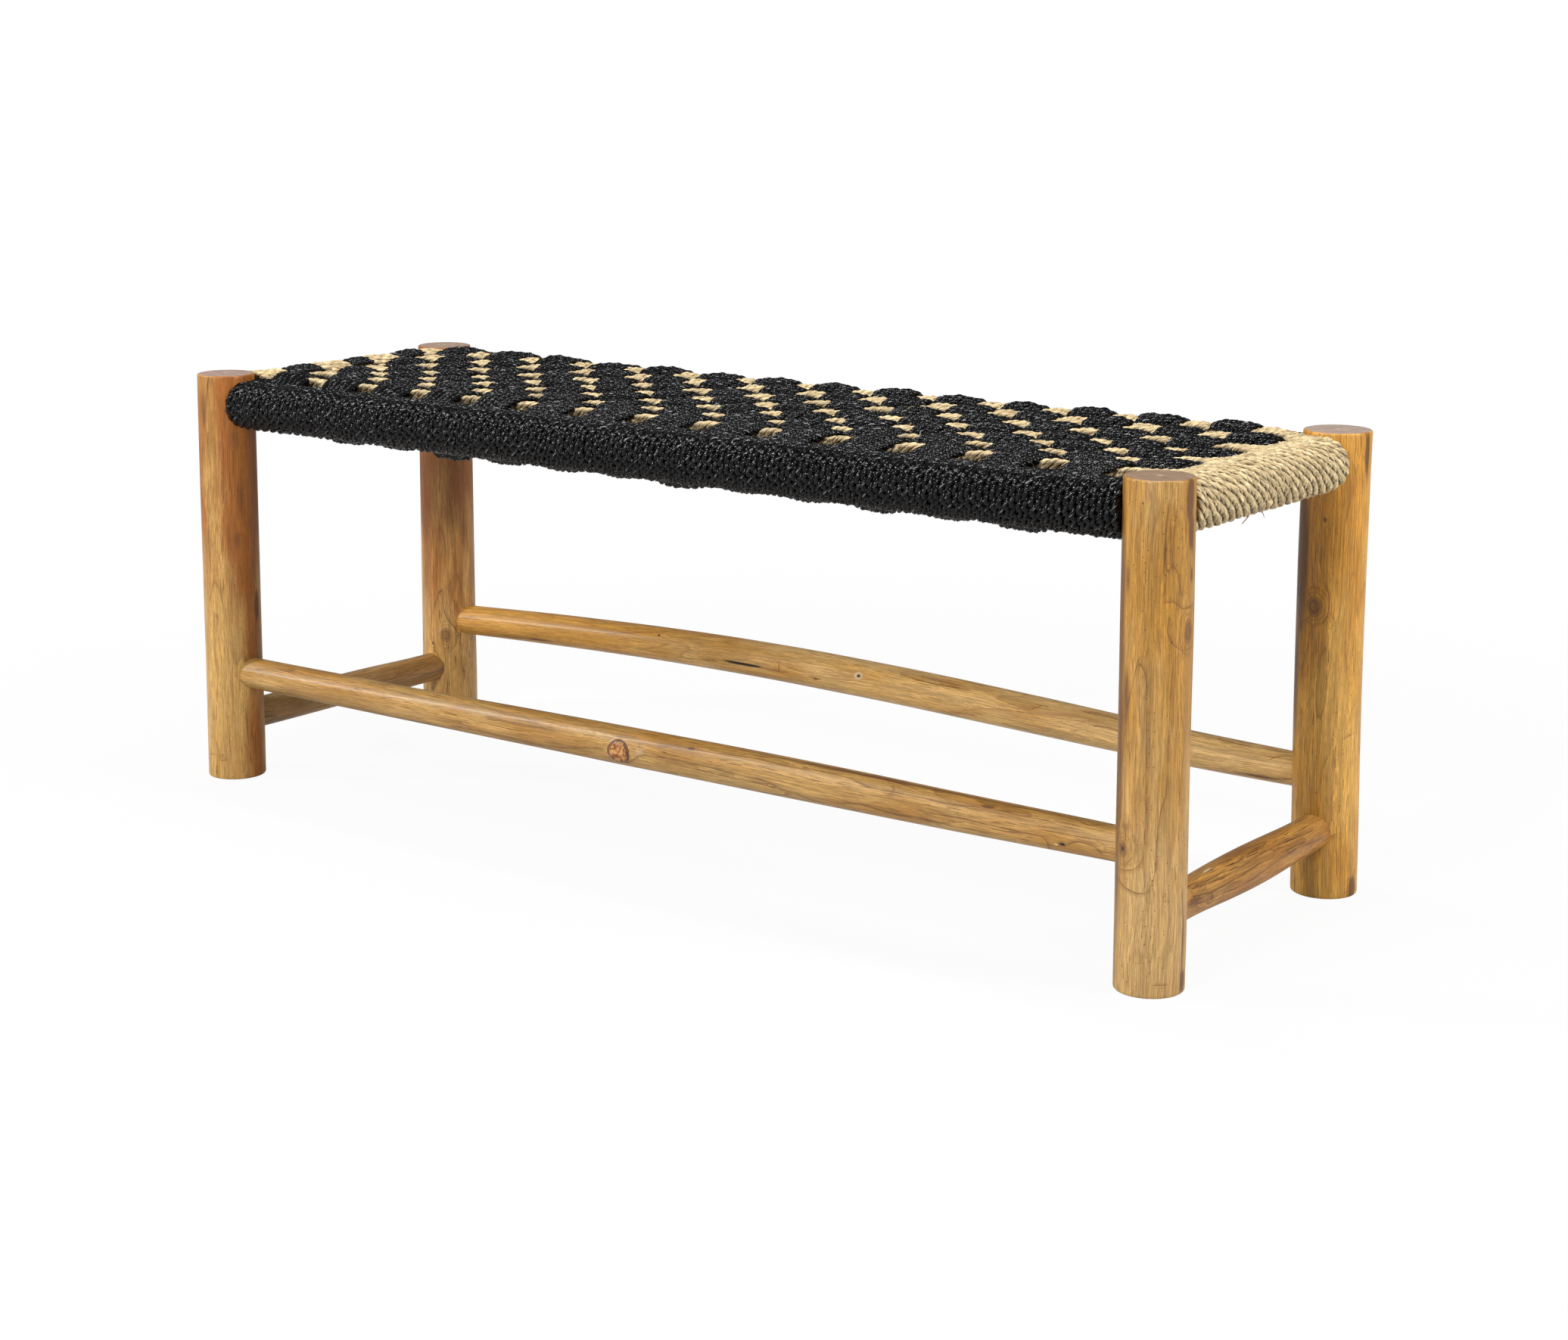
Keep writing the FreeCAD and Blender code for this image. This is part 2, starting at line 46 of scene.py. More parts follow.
# Camera of the photograph, fitted to the edges of the legs: its place in metres, and how it is turned
PHOTO_WIDTH, PHOTO_HEIGHT = 2072, 1771
SENSOR, LENS, SHIFT_Y = 36.0, 62.72, -0.1378
CAMERA_PLACE, CAMERA_TURN = (1.65626, -2.145227, 0.804128), (81.24138, -0.0742, 36.76945)
CAMERA = Matrix.LocRotScale(CAMERA_PLACE, Euler([math.radians(turn) for turn in CAMERA_TURN]), None)


# Shader helpers
class Flow:
    """A number, a vector or a colour in a shader tree, to reckon with."""

    def __init__(self, tree, socket):
        self.tree = tree
        self.socket = socket

    def reckon(self, operation, other=0.0):
        return flow(self.tree, "ShaderNodeMath", 0, {"operation": operation}, {0: self, 1: other})

    def __add__(self, other):
        return self.reckon("ADD", other)

    def __sub__(self, other):
        return self.reckon("SUBTRACT", other)

    def __mul__(self, other):
        return self.reckon("MULTIPLY", other)

    def larger(self, other):
        return self.reckon("MAXIMUM", other)

    def fade(self, low, high, start=0.0, end=1.0):
        """Smooth step from low to high."""
        inputs = {"Value": self, "From Min": low, "From Max": high, "To Min": start, "To Max": end}
        return flow(self.tree, "ShaderNodeMapRange", 0, {"interpolation_type": "SMOOTHSTEP"}, inputs)

    def shift(self, offset):
        return flow(self.tree, "ShaderNodeVectorMath", 0, {"operation": "ADD"}, {0: self, 1: offset})

    def stretch(self, factors):
        return flow(self.tree, "ShaderNodeVectorMath", 0, {"operation": "MULTIPLY"}, {0: self, 1: factors})

    def length(self):
        return flow(self.tree, "ShaderNodeVectorMath", "Value", {"operation": "LENGTH"}, {0: self})

    def part(self, axis):
        return flow(self.tree, "ShaderNodeSeparateXYZ", axis, None, {0: self})

    def cloudy(self, factors, detail=2.0, offset=0.0):
        """Noise from 0 to 1 at a place, at its own scale along each axis."""
        place = self.stretch(factors).shift((offset, offset, offset))
        inputs = {"Vector": place, "Scale": 1.0, "Detail": detail, "Roughness": 0.55}
        return flow(self.tree, "ShaderNodeTexNoise", "Fac", None, inputs)

    def cover(self, mask, colour):
        """This colour with another one over it, where a mask is 1."""
        return blend(self.tree, mask, self, colour)

    def light(self, value):
        return flow(self.tree, "ShaderNodeHueSaturation", 0, None, {"Color": self, "Value": value})

    def vary(self, noise, darkest, lightest):
        """This colour, from dark to light with a noise."""
        return self.light(noise.fade(0.3, 0.7, darkest, lightest))

    def relief(self, strength, depth):
        inputs = {"Strength": strength, "Distance": depth * MM, "Height": self}
        return flow(self.tree, "ShaderNodeBump", "Normal", None, inputs)


def fill_inputs(tree, node, inputs):
    """Puts values or flows into a node's inputs."""
    for name, value in inputs.items():
        if isinstance(value, Flow):
            tree.links.new(value.socket, node.inputs[name])
        else:
            node.inputs[name].default_value = value


def add_node(tree, kind, settings=None, inputs=None):
    node = tree.nodes.new(kind)
    for name, value in (settings or {}).items():
        setattr(node, name, value)
    fill_inputs(tree, node, inputs or {})
    return node


def flow(tree, kind, output, settings=None, inputs=None):
    return Flow(tree, add_node(tree, kind, settings, inputs).outputs[output])


def blend(tree, mask, first, second):
    """The second colour where a mask is 1, over the first."""
    return flow(tree, "ShaderNodeMix", 2, {"data_type": "RGBA"}, {0: mask, 6: first, 7: second})


def painted(tree, name, output="Fac"):
    return flow(tree, "ShaderNodeAttribute", output, {"attribute_name": name})


COLOUR, NUMBER = "NodeSocketColor", "NodeSocketFloat"
FINISH = {"Color": COLOUR, "Roughness": NUMBER, "Height": NUMBER}


def new_group(name, colours, numbers):
    """A shader group that gives a finish, and its named inputs."""
    tree = bpy.data.node_groups.new(name, "ShaderNodeTree")
    for labels, kind in ((colours, COLOUR), (numbers, NUMBER)):
        for label in labels:
            tree.interface.new_socket(label, in_out="INPUT", socket_type=kind)
    for label, kind in FINISH.items():
        tree.interface.new_socket(label, in_out="OUTPUT", socket_type=kind)
    source = tree.nodes.new("NodeGroupInput")
    return tree, {label: Flow(tree, source.outputs[label]) for label in (*colours, *numbers)}


def new_material(name):
    material = bpy.data.materials.new(name)
    material.use_nodes = True
    return material, material.node_tree, material.node_tree.nodes["Principled BSDF"]


# Wood of the peeled branches. It reads what each branch's mesh carries: its straightened grain coordinates in
# metres, and masks of its knots, stains and painted shade, splits and sawn ends.
KNOT_HEART = (0.1, 0.034, 0.009, 1.0)
STUB_DARK, STUB_PALE = (0.19, 0.05, 0.008, 1.0), (0.55, 0.27, 0.085, 1.0)
STUB_RIM = (0.06, 0.018, 0.005, 1.0)
STAIN_AND_SHADE_DARK, RUBBED_PALE = (0.1, 0.036, 0.011, 1.0), (0.68, 0.5, 0.31, 1.0)
PORE_DARK, SPLIT_DARK = (0.045, 0.018, 0.007, 1.0), (0.018, 0.008, 0.004, 1.0)
PITH = (0.6, 0.45, 0.33, 1.0)


def make_branch_grain():
    tree, given = new_group(
        "branch_grain", ("Pale", "Honey", "Latewood", "Sawn"), ("Seed", "Figure", "Pores", "Streaks"))
    latewood = given["Latewood"]
    seed = flow(tree, "ShaderNodeCombineXYZ", 0, None, {i: given["Seed"] for i in range(3)})
    unbent = painted(tree, "grain", "Vector")
    straight = unbent.shift(seed)
    knot, stain_and_shade, split, sawn = (painted(tree, name) for name in ("knot", "stain_and_shade", "split", "sawn"))
    sway = {"Vector": straight.stretch((12, 12, 7)), "Scale": 1.0, "Detail": 1.0}
    sway = flow(tree, "ShaderNodeTexNoise", "Color", None, sway)
    grain = straight.shift(sway.shift((-0.5, -0.5, -0.5)).stretch((0.011, 0.011, 0.0)))
    fibre = grain.cloudy((900, 900, 24), 5.0)
    fine = grain.cloudy((2000, 2000, 110), 3.0)
    bands = grain.cloudy((150, 150, 4), 2.0, 3.0)
    blotch = grain.cloudy((30, 30, 8), 2.0, 13.0)

    # Growth lines, sharp on one side and soft on the other, which loop round the knots and come and go
    slow = grain.cloudy((24, 24, 2.8), 1.0, 9.0)
    step = (slow * 8.5 + knot * 2.4 + bands * 0.3 + fine * 0.05).reckon("FRACT")
    soft = step.fade(0.4, 0.97, 0.0, 0.42) * step.fade(0.97, 1.0, 1.0, 0.0)
    crisp = step.fade(0.88, 0.96) * step.fade(0.965, 1.0, 1.0, 0.0)
    bold = grain.cloudy((34, 34, 7), 1.0, 21.0).fade(0.4, 0.6, 0.12, 1.0)
    line = soft.larger(crisp) * bold * fibre.fade(0.3, 0.6, 0.4, 1.0) * given["Figure"]

    # The growth lines that show in the photo: the mesh carries the distance to the nearest, in millimetres
    drawn = painted(tree, "drawn", "Vector")
    aside = drawn.part(0) + (grain.cloudy((130, 130, 40), 2.0, 27.0) - 0.5) * 1.8
    core = aside.reckon("ABSOLUTE").fade(0.1, 1.0, 0.85, 0.0)
    flank = aside.fade(0.2, 5.5, 0.34, 0.0) * aside.reckon("GREATER_THAN")
    stroke = core.larger(flank) * drawn.part(1).fade(2.4, 5.0, 1.0, 0.0)
    broken = grain.cloudy((50, 50, 38), 1.0, 61.0)
    stroke = stroke * fibre.fade(0.25, 0.5, 0.6, 1.0) * broken.fade(0.34, 0.56, 0.45, 1.0)
    line = line.larger(stroke)

    # Open pores: dark specks that gather in bands along the grain and on the drawn lines
    cells = {"Vector": grain.stretch((500, 500, 400)), "Scale": 1.0, "Randomness": 1.0}
    specks = add_node(tree, "ShaderNodeTexVoronoi", None, cells).outputs
    chance = flow(tree, "ShaderNodeSeparateColor", 0, None, {0: Flow(tree, specks["Color"])})
    pore = (Flow(tree, specks["Distance"]) - chance * 0.36).fade(-0.16, -0.06, 1.0, 0.0)
    porous = grain.cloudy((95, 95, 4), 2.0, 33.0).fade(0.44, 0.58, 0.3, 1.0)
    porous = porous.larger(drawn.part(1).fade(0.5, 4.0, 1.0, 0.0))
    pore = pore * (porous * given["Pores"])

    tint = painted(tree, "tint") + (blotch - 0.5) * 2.4
    colour = given["Pale"].cover(tint.fade(0.0, 1.0), given["Honey"])
    colour = colour.vary(bands, 0.85, 1.11).vary(fibre, 0.65, 1.13).vary(fine, 0.78, 1.12)
    dash = grain.cloudy((900, 900, 26), 2.0, 51.0).fade(0.57, 0.64) * bands.fade(0.4, 0.62, 0.25, 1.0)
    colour = colour.cover(dash * given["Streaks"], latewood).cover(line, latewood)

    # Knots: rings of growth round a dark heart
    ragged = knot + fine * 0.14
    rings = (ragged * 7.0).reckon("FRACT").fade(0.3, 1.0) * ragged.fade(0.42, 0.56)
    colour = colour.cover(rings * 0.38, latewood).cover(ragged.fade(0.74, 0.98, 0.0, 0.6), KNOT_HEART)

    # Knots that were cut off flush: mottled end grain inside a dark rim
    mottle = straight.cloudy((240, 240, 330), 3.0, 41.0)
    inside = painted(tree, "stub") + (mottle - 0.5) * 0.25
    cut_face = blend(tree, mottle.fade(0.4, 0.62), STUB_DARK, STUB_PALE)
    cut_face = cut_face.cover(inside.fade(0.22, 0.7, 0.9, 0.0), STUB_RIM)
    colour = colour.cover(inside.fade(0.16, 0.24), cut_face)

    # Stains and painted shade keep to the fibres and pores, negative ones are rubbed pale, and splits are
    # nearly black
    ground = fibre * 0.9 + blotch * 0.4 + fine * 0.7
    colour = colour.cover((stain_and_shade * ground).fade(0.5, 0.92, 0.0, 0.85), STAIN_AND_SHADE_DARK)
    colour = colour.cover(stain_and_shade.fade(-0.25, -0.7, 0.0, 0.75), RUBBED_PALE)
    colour = colour.cover(pore, PORE_DARK).cover(split.fade(0.3, 0.75), SPLIT_DARK)

    # Sawn ends: faint rings and rays on a greyer ground
    flat = unbent.stretch((1, 1, 0))
    radius = flat.length()
    cut = flat.shift(seed)
    years = (radius * 300.0 + cut.cloudy((70, 70, 70), 2.0, 5.0) * 3.0).reckon("FRACT")
    end_grain = given["Sawn"].light(years.fade(0.3, 1.0, 1.05, 0.9))
    end_grain = end_grain.vary(cut.cloudy((60, 190, 60), 3.0), 0.78, 1.16)
    end_grain = end_grain.vary(cut.cloudy((1100, 1100, 1100)), 0.86, 1.1)
    pith = radius + cut.cloudy((300, 500, 300)) * 0.006
    end_grain = end_grain.cover(pith.fade(0.004, 0.0075, 0.55, 0.0), PITH)

    finish = {
        "Color": colour.cover(sawn, end_grain),
        "Roughness": fibre.fade(0.3, 0.7, 0.38, 0.54) + sawn * 0.08,
        "Height": fibre + fine * 0.5 - (pore + line * 0.4),
    }
    add_node(tree, "NodeGroupOutput", None, finish)
    return tree


# Twisted cord. The mesh carries the lay, which is the place round the strands and the length along them,
# how far each place lies out on the cord's flank, and which of the loose blades are brown.
# Painted shade for the groove between two strands
GROOVE_SHADE = (0.002, 0.001, 0.0004, 1.0)


def make_cord_fibre():
    tree, given = new_group(
        "cord_fibre", ("Pale", "Body", "Shade", "Fleck", "Glint"),
        ("Glint_amount", "Flecks", "Gloss", "Spread", "Threads"))
    shade, spread = given["Shade"], given["Spread"]
    lay = painted(tree, "lay", "Vector")
    fibre = lay.cloudy((6, 6, 90), 3.0)
    thread = lay.cloudy((14, 14, 110), 2.0, 3.0)
    slow = lay.cloudy((1.6, 0.3, 60), 2.0, 7.0)
    fleck = lay.cloudy((2.8, 2.8, 150), 2.0, 17.0).fade(0.63, 0.72)
    round_strand = lay.part(1)
    colour = shade.cover(fibre.fade(0.31, 0.5), given["Body"])
    colour = colour.cover(fibre.fade(0.5, 0.72), given["Pale"])
    colour = colour.cover(thread.fade(0.4, 0.28) * given["Threads"], shade).vary(thread, 0.84, 1.12)
    ranged = {"Value": slow, "From Min": 0.3, "From Max": 0.7}
    ranged.update({"To Min": spread * -1.0 + 1.0, "To Max": spread + 1.0})
    colour = colour.light(flow(tree, "ShaderNodeMapRange", 0, None, ranged))
    colour = colour.cover(fleck * given["Flecks"], given["Fleck"])

    # The crest of each strand carries short dashes of painted highlight, and the groove between two strands
    # is painted shade
    crest = (round_strand - 0.12).reckon("ABSOLUTE").fade(0.03, 0.19, 1.0, 0.0)
    crest = crest * lay.cloudy((2.0, 0.4, 190), 2.0, 29.0).fade(0.54, 0.62)
    groove = round_strand.reckon("ABSOLUTE").fade(0.8, 0.95, 0.0, 0.94)
    colour = colour.cover(crest * given["Glint_amount"], given["Glint"]).cover(groove, shade.cover(0.6, GROOVE_SHADE))
    # Painted shade: the flanks, where one cord lies against the next, are darkened
    colour = colour.light(painted(tree, "flank").fade(0.72, 1.04, 1.0, 0.2))
    finish = {
        "Color": colour.cover(painted(tree, "brown"), given["Fleck"]),
        "Roughness": given["Gloss"] + fibre.fade(0.3, 0.7, -0.03, 0.08),
        "Height": fibre + thread * given["Threads"],
    }
    add_node(tree, "NodeGroupOutput", None, finish)
    return tree


def finish_material(name, group, values, bump, depth, settings):
    """A material that takes its colour, roughness and bump from a group."""
    material, tree, shader = new_material(name)
    source = add_node(tree, "ShaderNodeGroup", {"node_tree": group}, values)
    colour, rough, height = (Flow(tree, source.outputs[label]) for label in FINISH)
    inputs = {"Base Color": colour, "Roughness": rough, "Normal": height.relief(bump, depth), **settings}
    fill_inputs(tree, shader, inputs)
    return material


BRANCH_GRAIN = make_branch_grain()
CORD_FIBRE = make_cord_fibre()
OILED = {"Specular IOR Level": 0.36, "Coat Weight": 0.14, "Coat Roughness": 0.16}


def branch_material(name, pale, honey, latewood, seed, figure, pores, streaks, sawn=(0.31, 0.2, 0.14)):
    values = {"Seed": seed, "Figure": figure, "Pores": pores, "Streaks": streaks}
    for label, colour in (("Pale", pale), ("Honey", honey), ("Latewood", latewood), ("Sawn", sawn)):
        values[label] = (*colour, 1.0)
    return finish_material(name, BRANCH_GRAIN, values, 0.35, 0.5, OILED)


# The crest colour and amount of each cord are a painted highlight on its strands
BLACK_CORD = finish_material("black_seagrass_cord", CORD_FIBRE, {
    "Pale": (0.014, 0.014, 0.0154, 1.0), "Body": (0.003, 0.003, 0.0034, 1.0),
    "Shade": (0.001, 0.001, 0.0012, 1.0), "Fleck": (0.03, 0.027, 0.024, 1.0),
    "Glint": (0.34, 0.34, 0.34, 1.0),
    "Glint_amount": 0.7, "Flecks": 0.3, "Gloss": 0.13, "Spread": 0.3, "Threads": 0.0,
}, 0.1, 0.3, {"Specular IOR Level": 0.19})
NATURAL_CORD = finish_material("natural_seagrass_cord", CORD_FIBRE, {
    "Pale": (0.85, 0.73, 0.47, 1.0), "Body": (0.58, 0.44, 0.23, 1.0),
    "Shade": (0.17, 0.095, 0.03, 1.0), "Fleck": (0.16, 0.06, 0.018, 1.0),
    "Glint": (0.94, 0.86, 0.64, 1.0),
    "Glint_amount": 0.7, "Flecks": 0.9, "Gloss": 0.44, "Spread": 0.45, "Threads": 1.0,
}, 0.5, 0.35, {"Specular IOR Level": 0.35})


# Branches. Each starts as a cylinder along Z, is cut into rings and eased at its sawn edges, gets the shallow
# lumps of peeled wood, and is then drawn out to its own line, thickness and knots.
POLE_SIDES, EASE_SEGMENTS, LONG_EDGE = 72, 3, 1 / 9
CAP_RINGS, CAP_RING = 4, 0.09
CAP_EDGE, FLAT = 0.965, 0.01
GRAIN_DRAW, LUMP_SCALE = 6.0, 0.034
LUMPS_FROM, LUMPS_GROW = 3.0, 40.0
SMOOTH_ANGLE = 38.0
LOOP_LENGTH, LOOP_WIDTH = 3.6, 2.0
STUB_REACH = 1.4
FAR_FROM_LINES = 30.0
SIGHT = np.arange(1500.0, 4500.0, 0.1)[:, None]
FULL_TURN = 2 * math.pi


def pick(piece, mode, chosen):
    """Leaves only the chosen edges or faces selected, in edit mode."""
    bpy.ops.object.mode_set(mode="OBJECT")
    mesh = piece.data
    for parts in (mesh.vertices, mesh.edges, mesh.polygons):
        parts.foreach_set("select", np.zeros(len(parts), dtype=bool))
    getattr(mesh, mode).foreach_set("select", chosen)
    bpy.context.tool_settings.mesh_select_mode = (False, mode == "edges", mode == "polygons")
    bpy.ops.object.mode_set(mode="EDIT")


def places(mesh):
    found = np.empty(len(mesh.vertices) * 3)
    mesh.vertices.foreach_get("co", found)
    return found.reshape(-1, 3)


def unit(vectors):
    return vectors / np.linalg.norm(vectors, axis=-1, keepdims=True)


def edge_rise(mesh):
    ends = np.empty(len(mesh.edges) * 2, dtype=np.int64)
    mesh.edges.foreach_get("vertices", ends)
    height = places(mesh)[:, 2][ends.reshape(-1, 2)]
    return np.abs(height[:, 0] - height[:, 1])


def sawn_pole(name, across, length, rings, ease, lump):
    """A pole along Z with eased ends. Its rings are cut in two passes, because one makes 100 at most."""
    bpy.ops.object.select_all(action="DESELECT")
    bpy.ops.mesh.primitive_cylinder_add(
        vertices=POLE_SIDES, radius=across * MM / 2, depth=length * MM, location=(0, 0, length * MM / 2))
    pole = bpy.context.active_object
    pole.name = pole.data.name = name
    bpy.ops.object.transform_apply(location=True, rotation=False, scale=False)
    pick(pole, "edges", edge_rise(pole.data) < MM)
    bpy.ops.mesh.bevel(offset=ease * MM, segments=EASE_SEGMENTS, affect="EDGES")
    bpy.ops.object.mode_set(mode="OBJECT")
    for cuts in rings:
        pick(pole, "edges", edge_rise(pole.data) > length * MM * LONG_EDGE)
        bpy.ops.mesh.subdivide(number_cuts=cuts)
        bpy.ops.object.mode_set(mode="OBJECT")
    pick(pole, "polygons", np.array([abs(face.normal.z) > 0.99 for face in pole.data.polygons]))
    for _ in range(CAP_RINGS):
        bpy.ops.mesh.inset(thickness=across * MM * CAP_RING, use_individual=True)
    bpy.ops.mesh.poke()
    bpy.ops.object.mode_set(mode="OBJECT")
    weather(pole, across, length, lump)
    return pole


def weather(pole, across, length, lump):
    """Shallow lumps, drawn out along the grain and fading out at the sawn ends."""
    mesh = pole.data
    rest = places(mesh)
    squeeze = Matrix.Diagonal((1.0, 1.0, 1.0 / GRAIN_DRAW, 1.0))
    mesh.transform(squeeze)
    side = np.hypot(rest[:, 0], rest[:, 1]) > across * MM * 0.47
    inward = np.minimum(rest[:, 2], length * MM - rest[:, 2]) / MM
    level = np.round(np.clip((inward - LUMPS_FROM) / LUMPS_GROW, 0.0, 1.0), 1)
    group = pole.vertex_groups.new(name="peeled_side")
    for share in np.unique(level[side]):
        group.add(np.flatnonzero(side & (level == share)).tolist(), float(share), "REPLACE")
    texture = bpy.data.textures.new(f"{pole.name}_lumps", "CLOUDS")
    texture.noise_scale = LUMP_SCALE
    texture.noise_depth = 1
    modifier = pole.modifiers.new("lumps", "DISPLACE")
    modifier.texture = texture
    modifier.texture_coords = "LOCAL"
    modifier.strength = lump * MM
    modifier.mid_level = 0.5
    modifier.vertex_group = group.name
    bpy.ops.object.modifier_apply(modifier=modifier.name)
    mesh.transform(squeeze.inverted())
    lumpy = places(mesh)
    lumpy[:, 2] = rest[:, 2]
    mesh.vertices.foreach_set("co", lumpy.ravel())


def paint(mesh, name, values):
    kind, label = ("FLOAT_VECTOR", "vector") if values.ndim == 2 else ("FLOAT", "value")
    layer = mesh.attributes.new(name, kind, "POINT")
    layer.data.foreach_set(label, values.astype(np.float32).ravel())


def turned(angle, turn):
    """Angle from a turn in degrees, from minus to plus half a circle."""
    return (angle - math.radians(turn) + math.pi) % FULL_TURN - math.pi


def spot_mask(along, angle, radius, spot, power=2.0):
    """Mask of a spot (place along, angle, half length, half width), 1 at its middle."""
    place, turn, half_length, half_width = spot[:4]
    aside = turned(angle, turn) * radius / half_width
    return np.exp(-(np.abs((along - place) / half_length) ** power + np.abs(aside) ** 2))


def read_line(pixels, unbend, radius_at):
    """Places along a branch, and angles round it, of a line that was read on the photograph."""
    camera = np.array(CAMERA)
    found = []
    for column, row in pixels:
        right, up = column - PHOTO_WIDTH / 2, PHOTO_HEIGHT / 2 - row
        ahead = camera[:3, :3] @ (right / PHOTO_WIDTH, up / PHOTO_WIDTH + SHIFT_Y, -LENS / SENSOR)
        along, first, second = unbend(camera[:3, 3] / MM + SIGHT * unit(ahead))
        gap = np.hypot(first, second) - radius_at(along)
        hit = np.argmax(gap < 0) if gap.min() < 0 else np.argmin(gap)
        found.append((along[hit], math.atan2(second[hit], first[hit])))
    found = np.array(found)
    found[:, 1] = np.degrees(np.unwrap(found[:, 1]))
    return np.round(found)


def rounded(line):
    """A drawn line with its corners cut twice."""
    for _ in range(2):
        before, after = line[:-1], line[1:]
        inner = np.stack([0.75 * before + 0.25 * after, 0.25 * before + 0.75 * after], axis=1)
        line = np.concatenate([line[:1], inner.reshape(-1, 2), line[-1:]])
    return line


def line_field(along, angle, radius, lines):
    """Distance of each point to the nearest drawn line, with a sign for its side and without."""
    plain = np.full(len(along), FAR_FROM_LINES)
    signed = np.full(len(along), FAR_FROM_LINES)
    for weight, corners in lines:
        corners = rounded(corners)
        for (start, turn), (end, last_turn) in zip(corners, corners[1:]):
            aside = turned(angle, turn) * radius
            run, over = end - start, math.radians(last_turn - turn) * radius
            ahead = along - start
            share = np.clip((ahead * run + aside * over) / (run ** 2 + over ** 2), 0.0, 1.0)
            gap = np.hypot(ahead - share * run, aside - share * over) / weight
            nearer = gap < plain
            plain = np.where(nearer, gap, plain)
            signed = np.where(nearer, np.copysign(gap, ahead * over - aside * run), signed)
    return np.stack([signed, plain, np.zeros(len(along))], axis=1)


def form_branch(pole, across, length, radius_at, line_at, unbend, made):
    """Draws the pole out to its thickness and line, raises knots, opens splits, and paints its masks."""
    mesh = pole.data
    local = places(mesh) / MM
    along = local[:, 2]
    angle = np.arctan2(local[:, 1], local[:, 0])
    radius = radius_at(along)
    share = np.hypot(local[:, 0], local[:, 1]) / (across / 2)
    push, knot, stub, split, stain_and_shade = np.zeros((5, len(local)))
    for *spot, rise in made.get("knots", ()):
        place, turn, half_length, half_width = spot
        core = spot_mask(along, angle, radius, spot)
        wide = (place, turn, half_length * LOOP_LENGTH, half_width * LOOP_WIDTH)
        loops = spot_mask(along, angle, radius, wide)
        knot = np.maximum(knot, 0.45 * loops + 0.55 * core)
        push += rise * (loops * 0.5 + core * 0.9 - core ** 6 * 0.8)
    for *spot, rise in made.get("stubs", ()):
        disc = spot_mask(along, angle, radius, spot)
        disc = np.clip(STUB_REACH - np.sqrt(-np.log(disc + 1e-9)), 0.0, STUB_REACH)
        stub = np.maximum(stub, disc)
        push += rise * np.clip((disc - 0.15) / 0.35, 0.0, 1.0)
    for *spot, depth in made.get("splits", ()):
        cut = spot_mask(along, angle, radius, spot, 4.0)
        split = np.maximum(split, cut)
        push -= depth * cut
    for *spot, strength in made["stains_and_shade"]:
        mark = strength * spot_mask(along, angle, radius, spot)
        stain_and_shade = np.where(np.abs(mark) > np.abs(stain_and_shade), mark, stain_and_shade)
    tint = np.full(len(local), made.get("tint", 0.5))
    for *spot, change in made.get("tints", ()):
        tint += change * spot_mask(along, angle, radius, spot)
    sawn = ((along < FLAT) | (along > length - FLAT)) & (share < CAP_EDGE)
    grown = share * radius + push * np.clip(share, 0, 1) ** 4
    straight = np.stack([grown * np.cos(angle), grown * np.sin(angle), along], axis=1)
    paint(mesh, "grain", straight * MM)
    lines = made.get("photo_lines", ())
    lines = [(weight, read_line(pixels, unbend, radius_at)) for weight, pixels in lines]
    paint(mesh, "drawn", line_field(along, angle, radius, lines))
    masks = {"tint": tint, "stub": stub, "knot": knot, "stain_and_shade": stain_and_shade, "split": split, "sawn": sawn}
    for name, mask in masks.items():
        paint(mesh, name, mask)
    mesh.vertices.foreach_set("co", (line_at(straight) * MM).ravel())
    mesh.update()
    bpy.ops.object.select_all(action="DESELECT")
    pole.select_set(True)
    bpy.context.view_layer.objects.active = pole
    bpy.ops.object.shade_smooth_by_angle(angle=math.radians(SMOOTH_ANGLE))


def settle(piece, slot, material, *nodes):
    """Hands a finished piece to the frame."""
    piece.data.materials.clear()
    piece.data.materials.append(material)
    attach(piece, "root")
    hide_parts(*nodes)


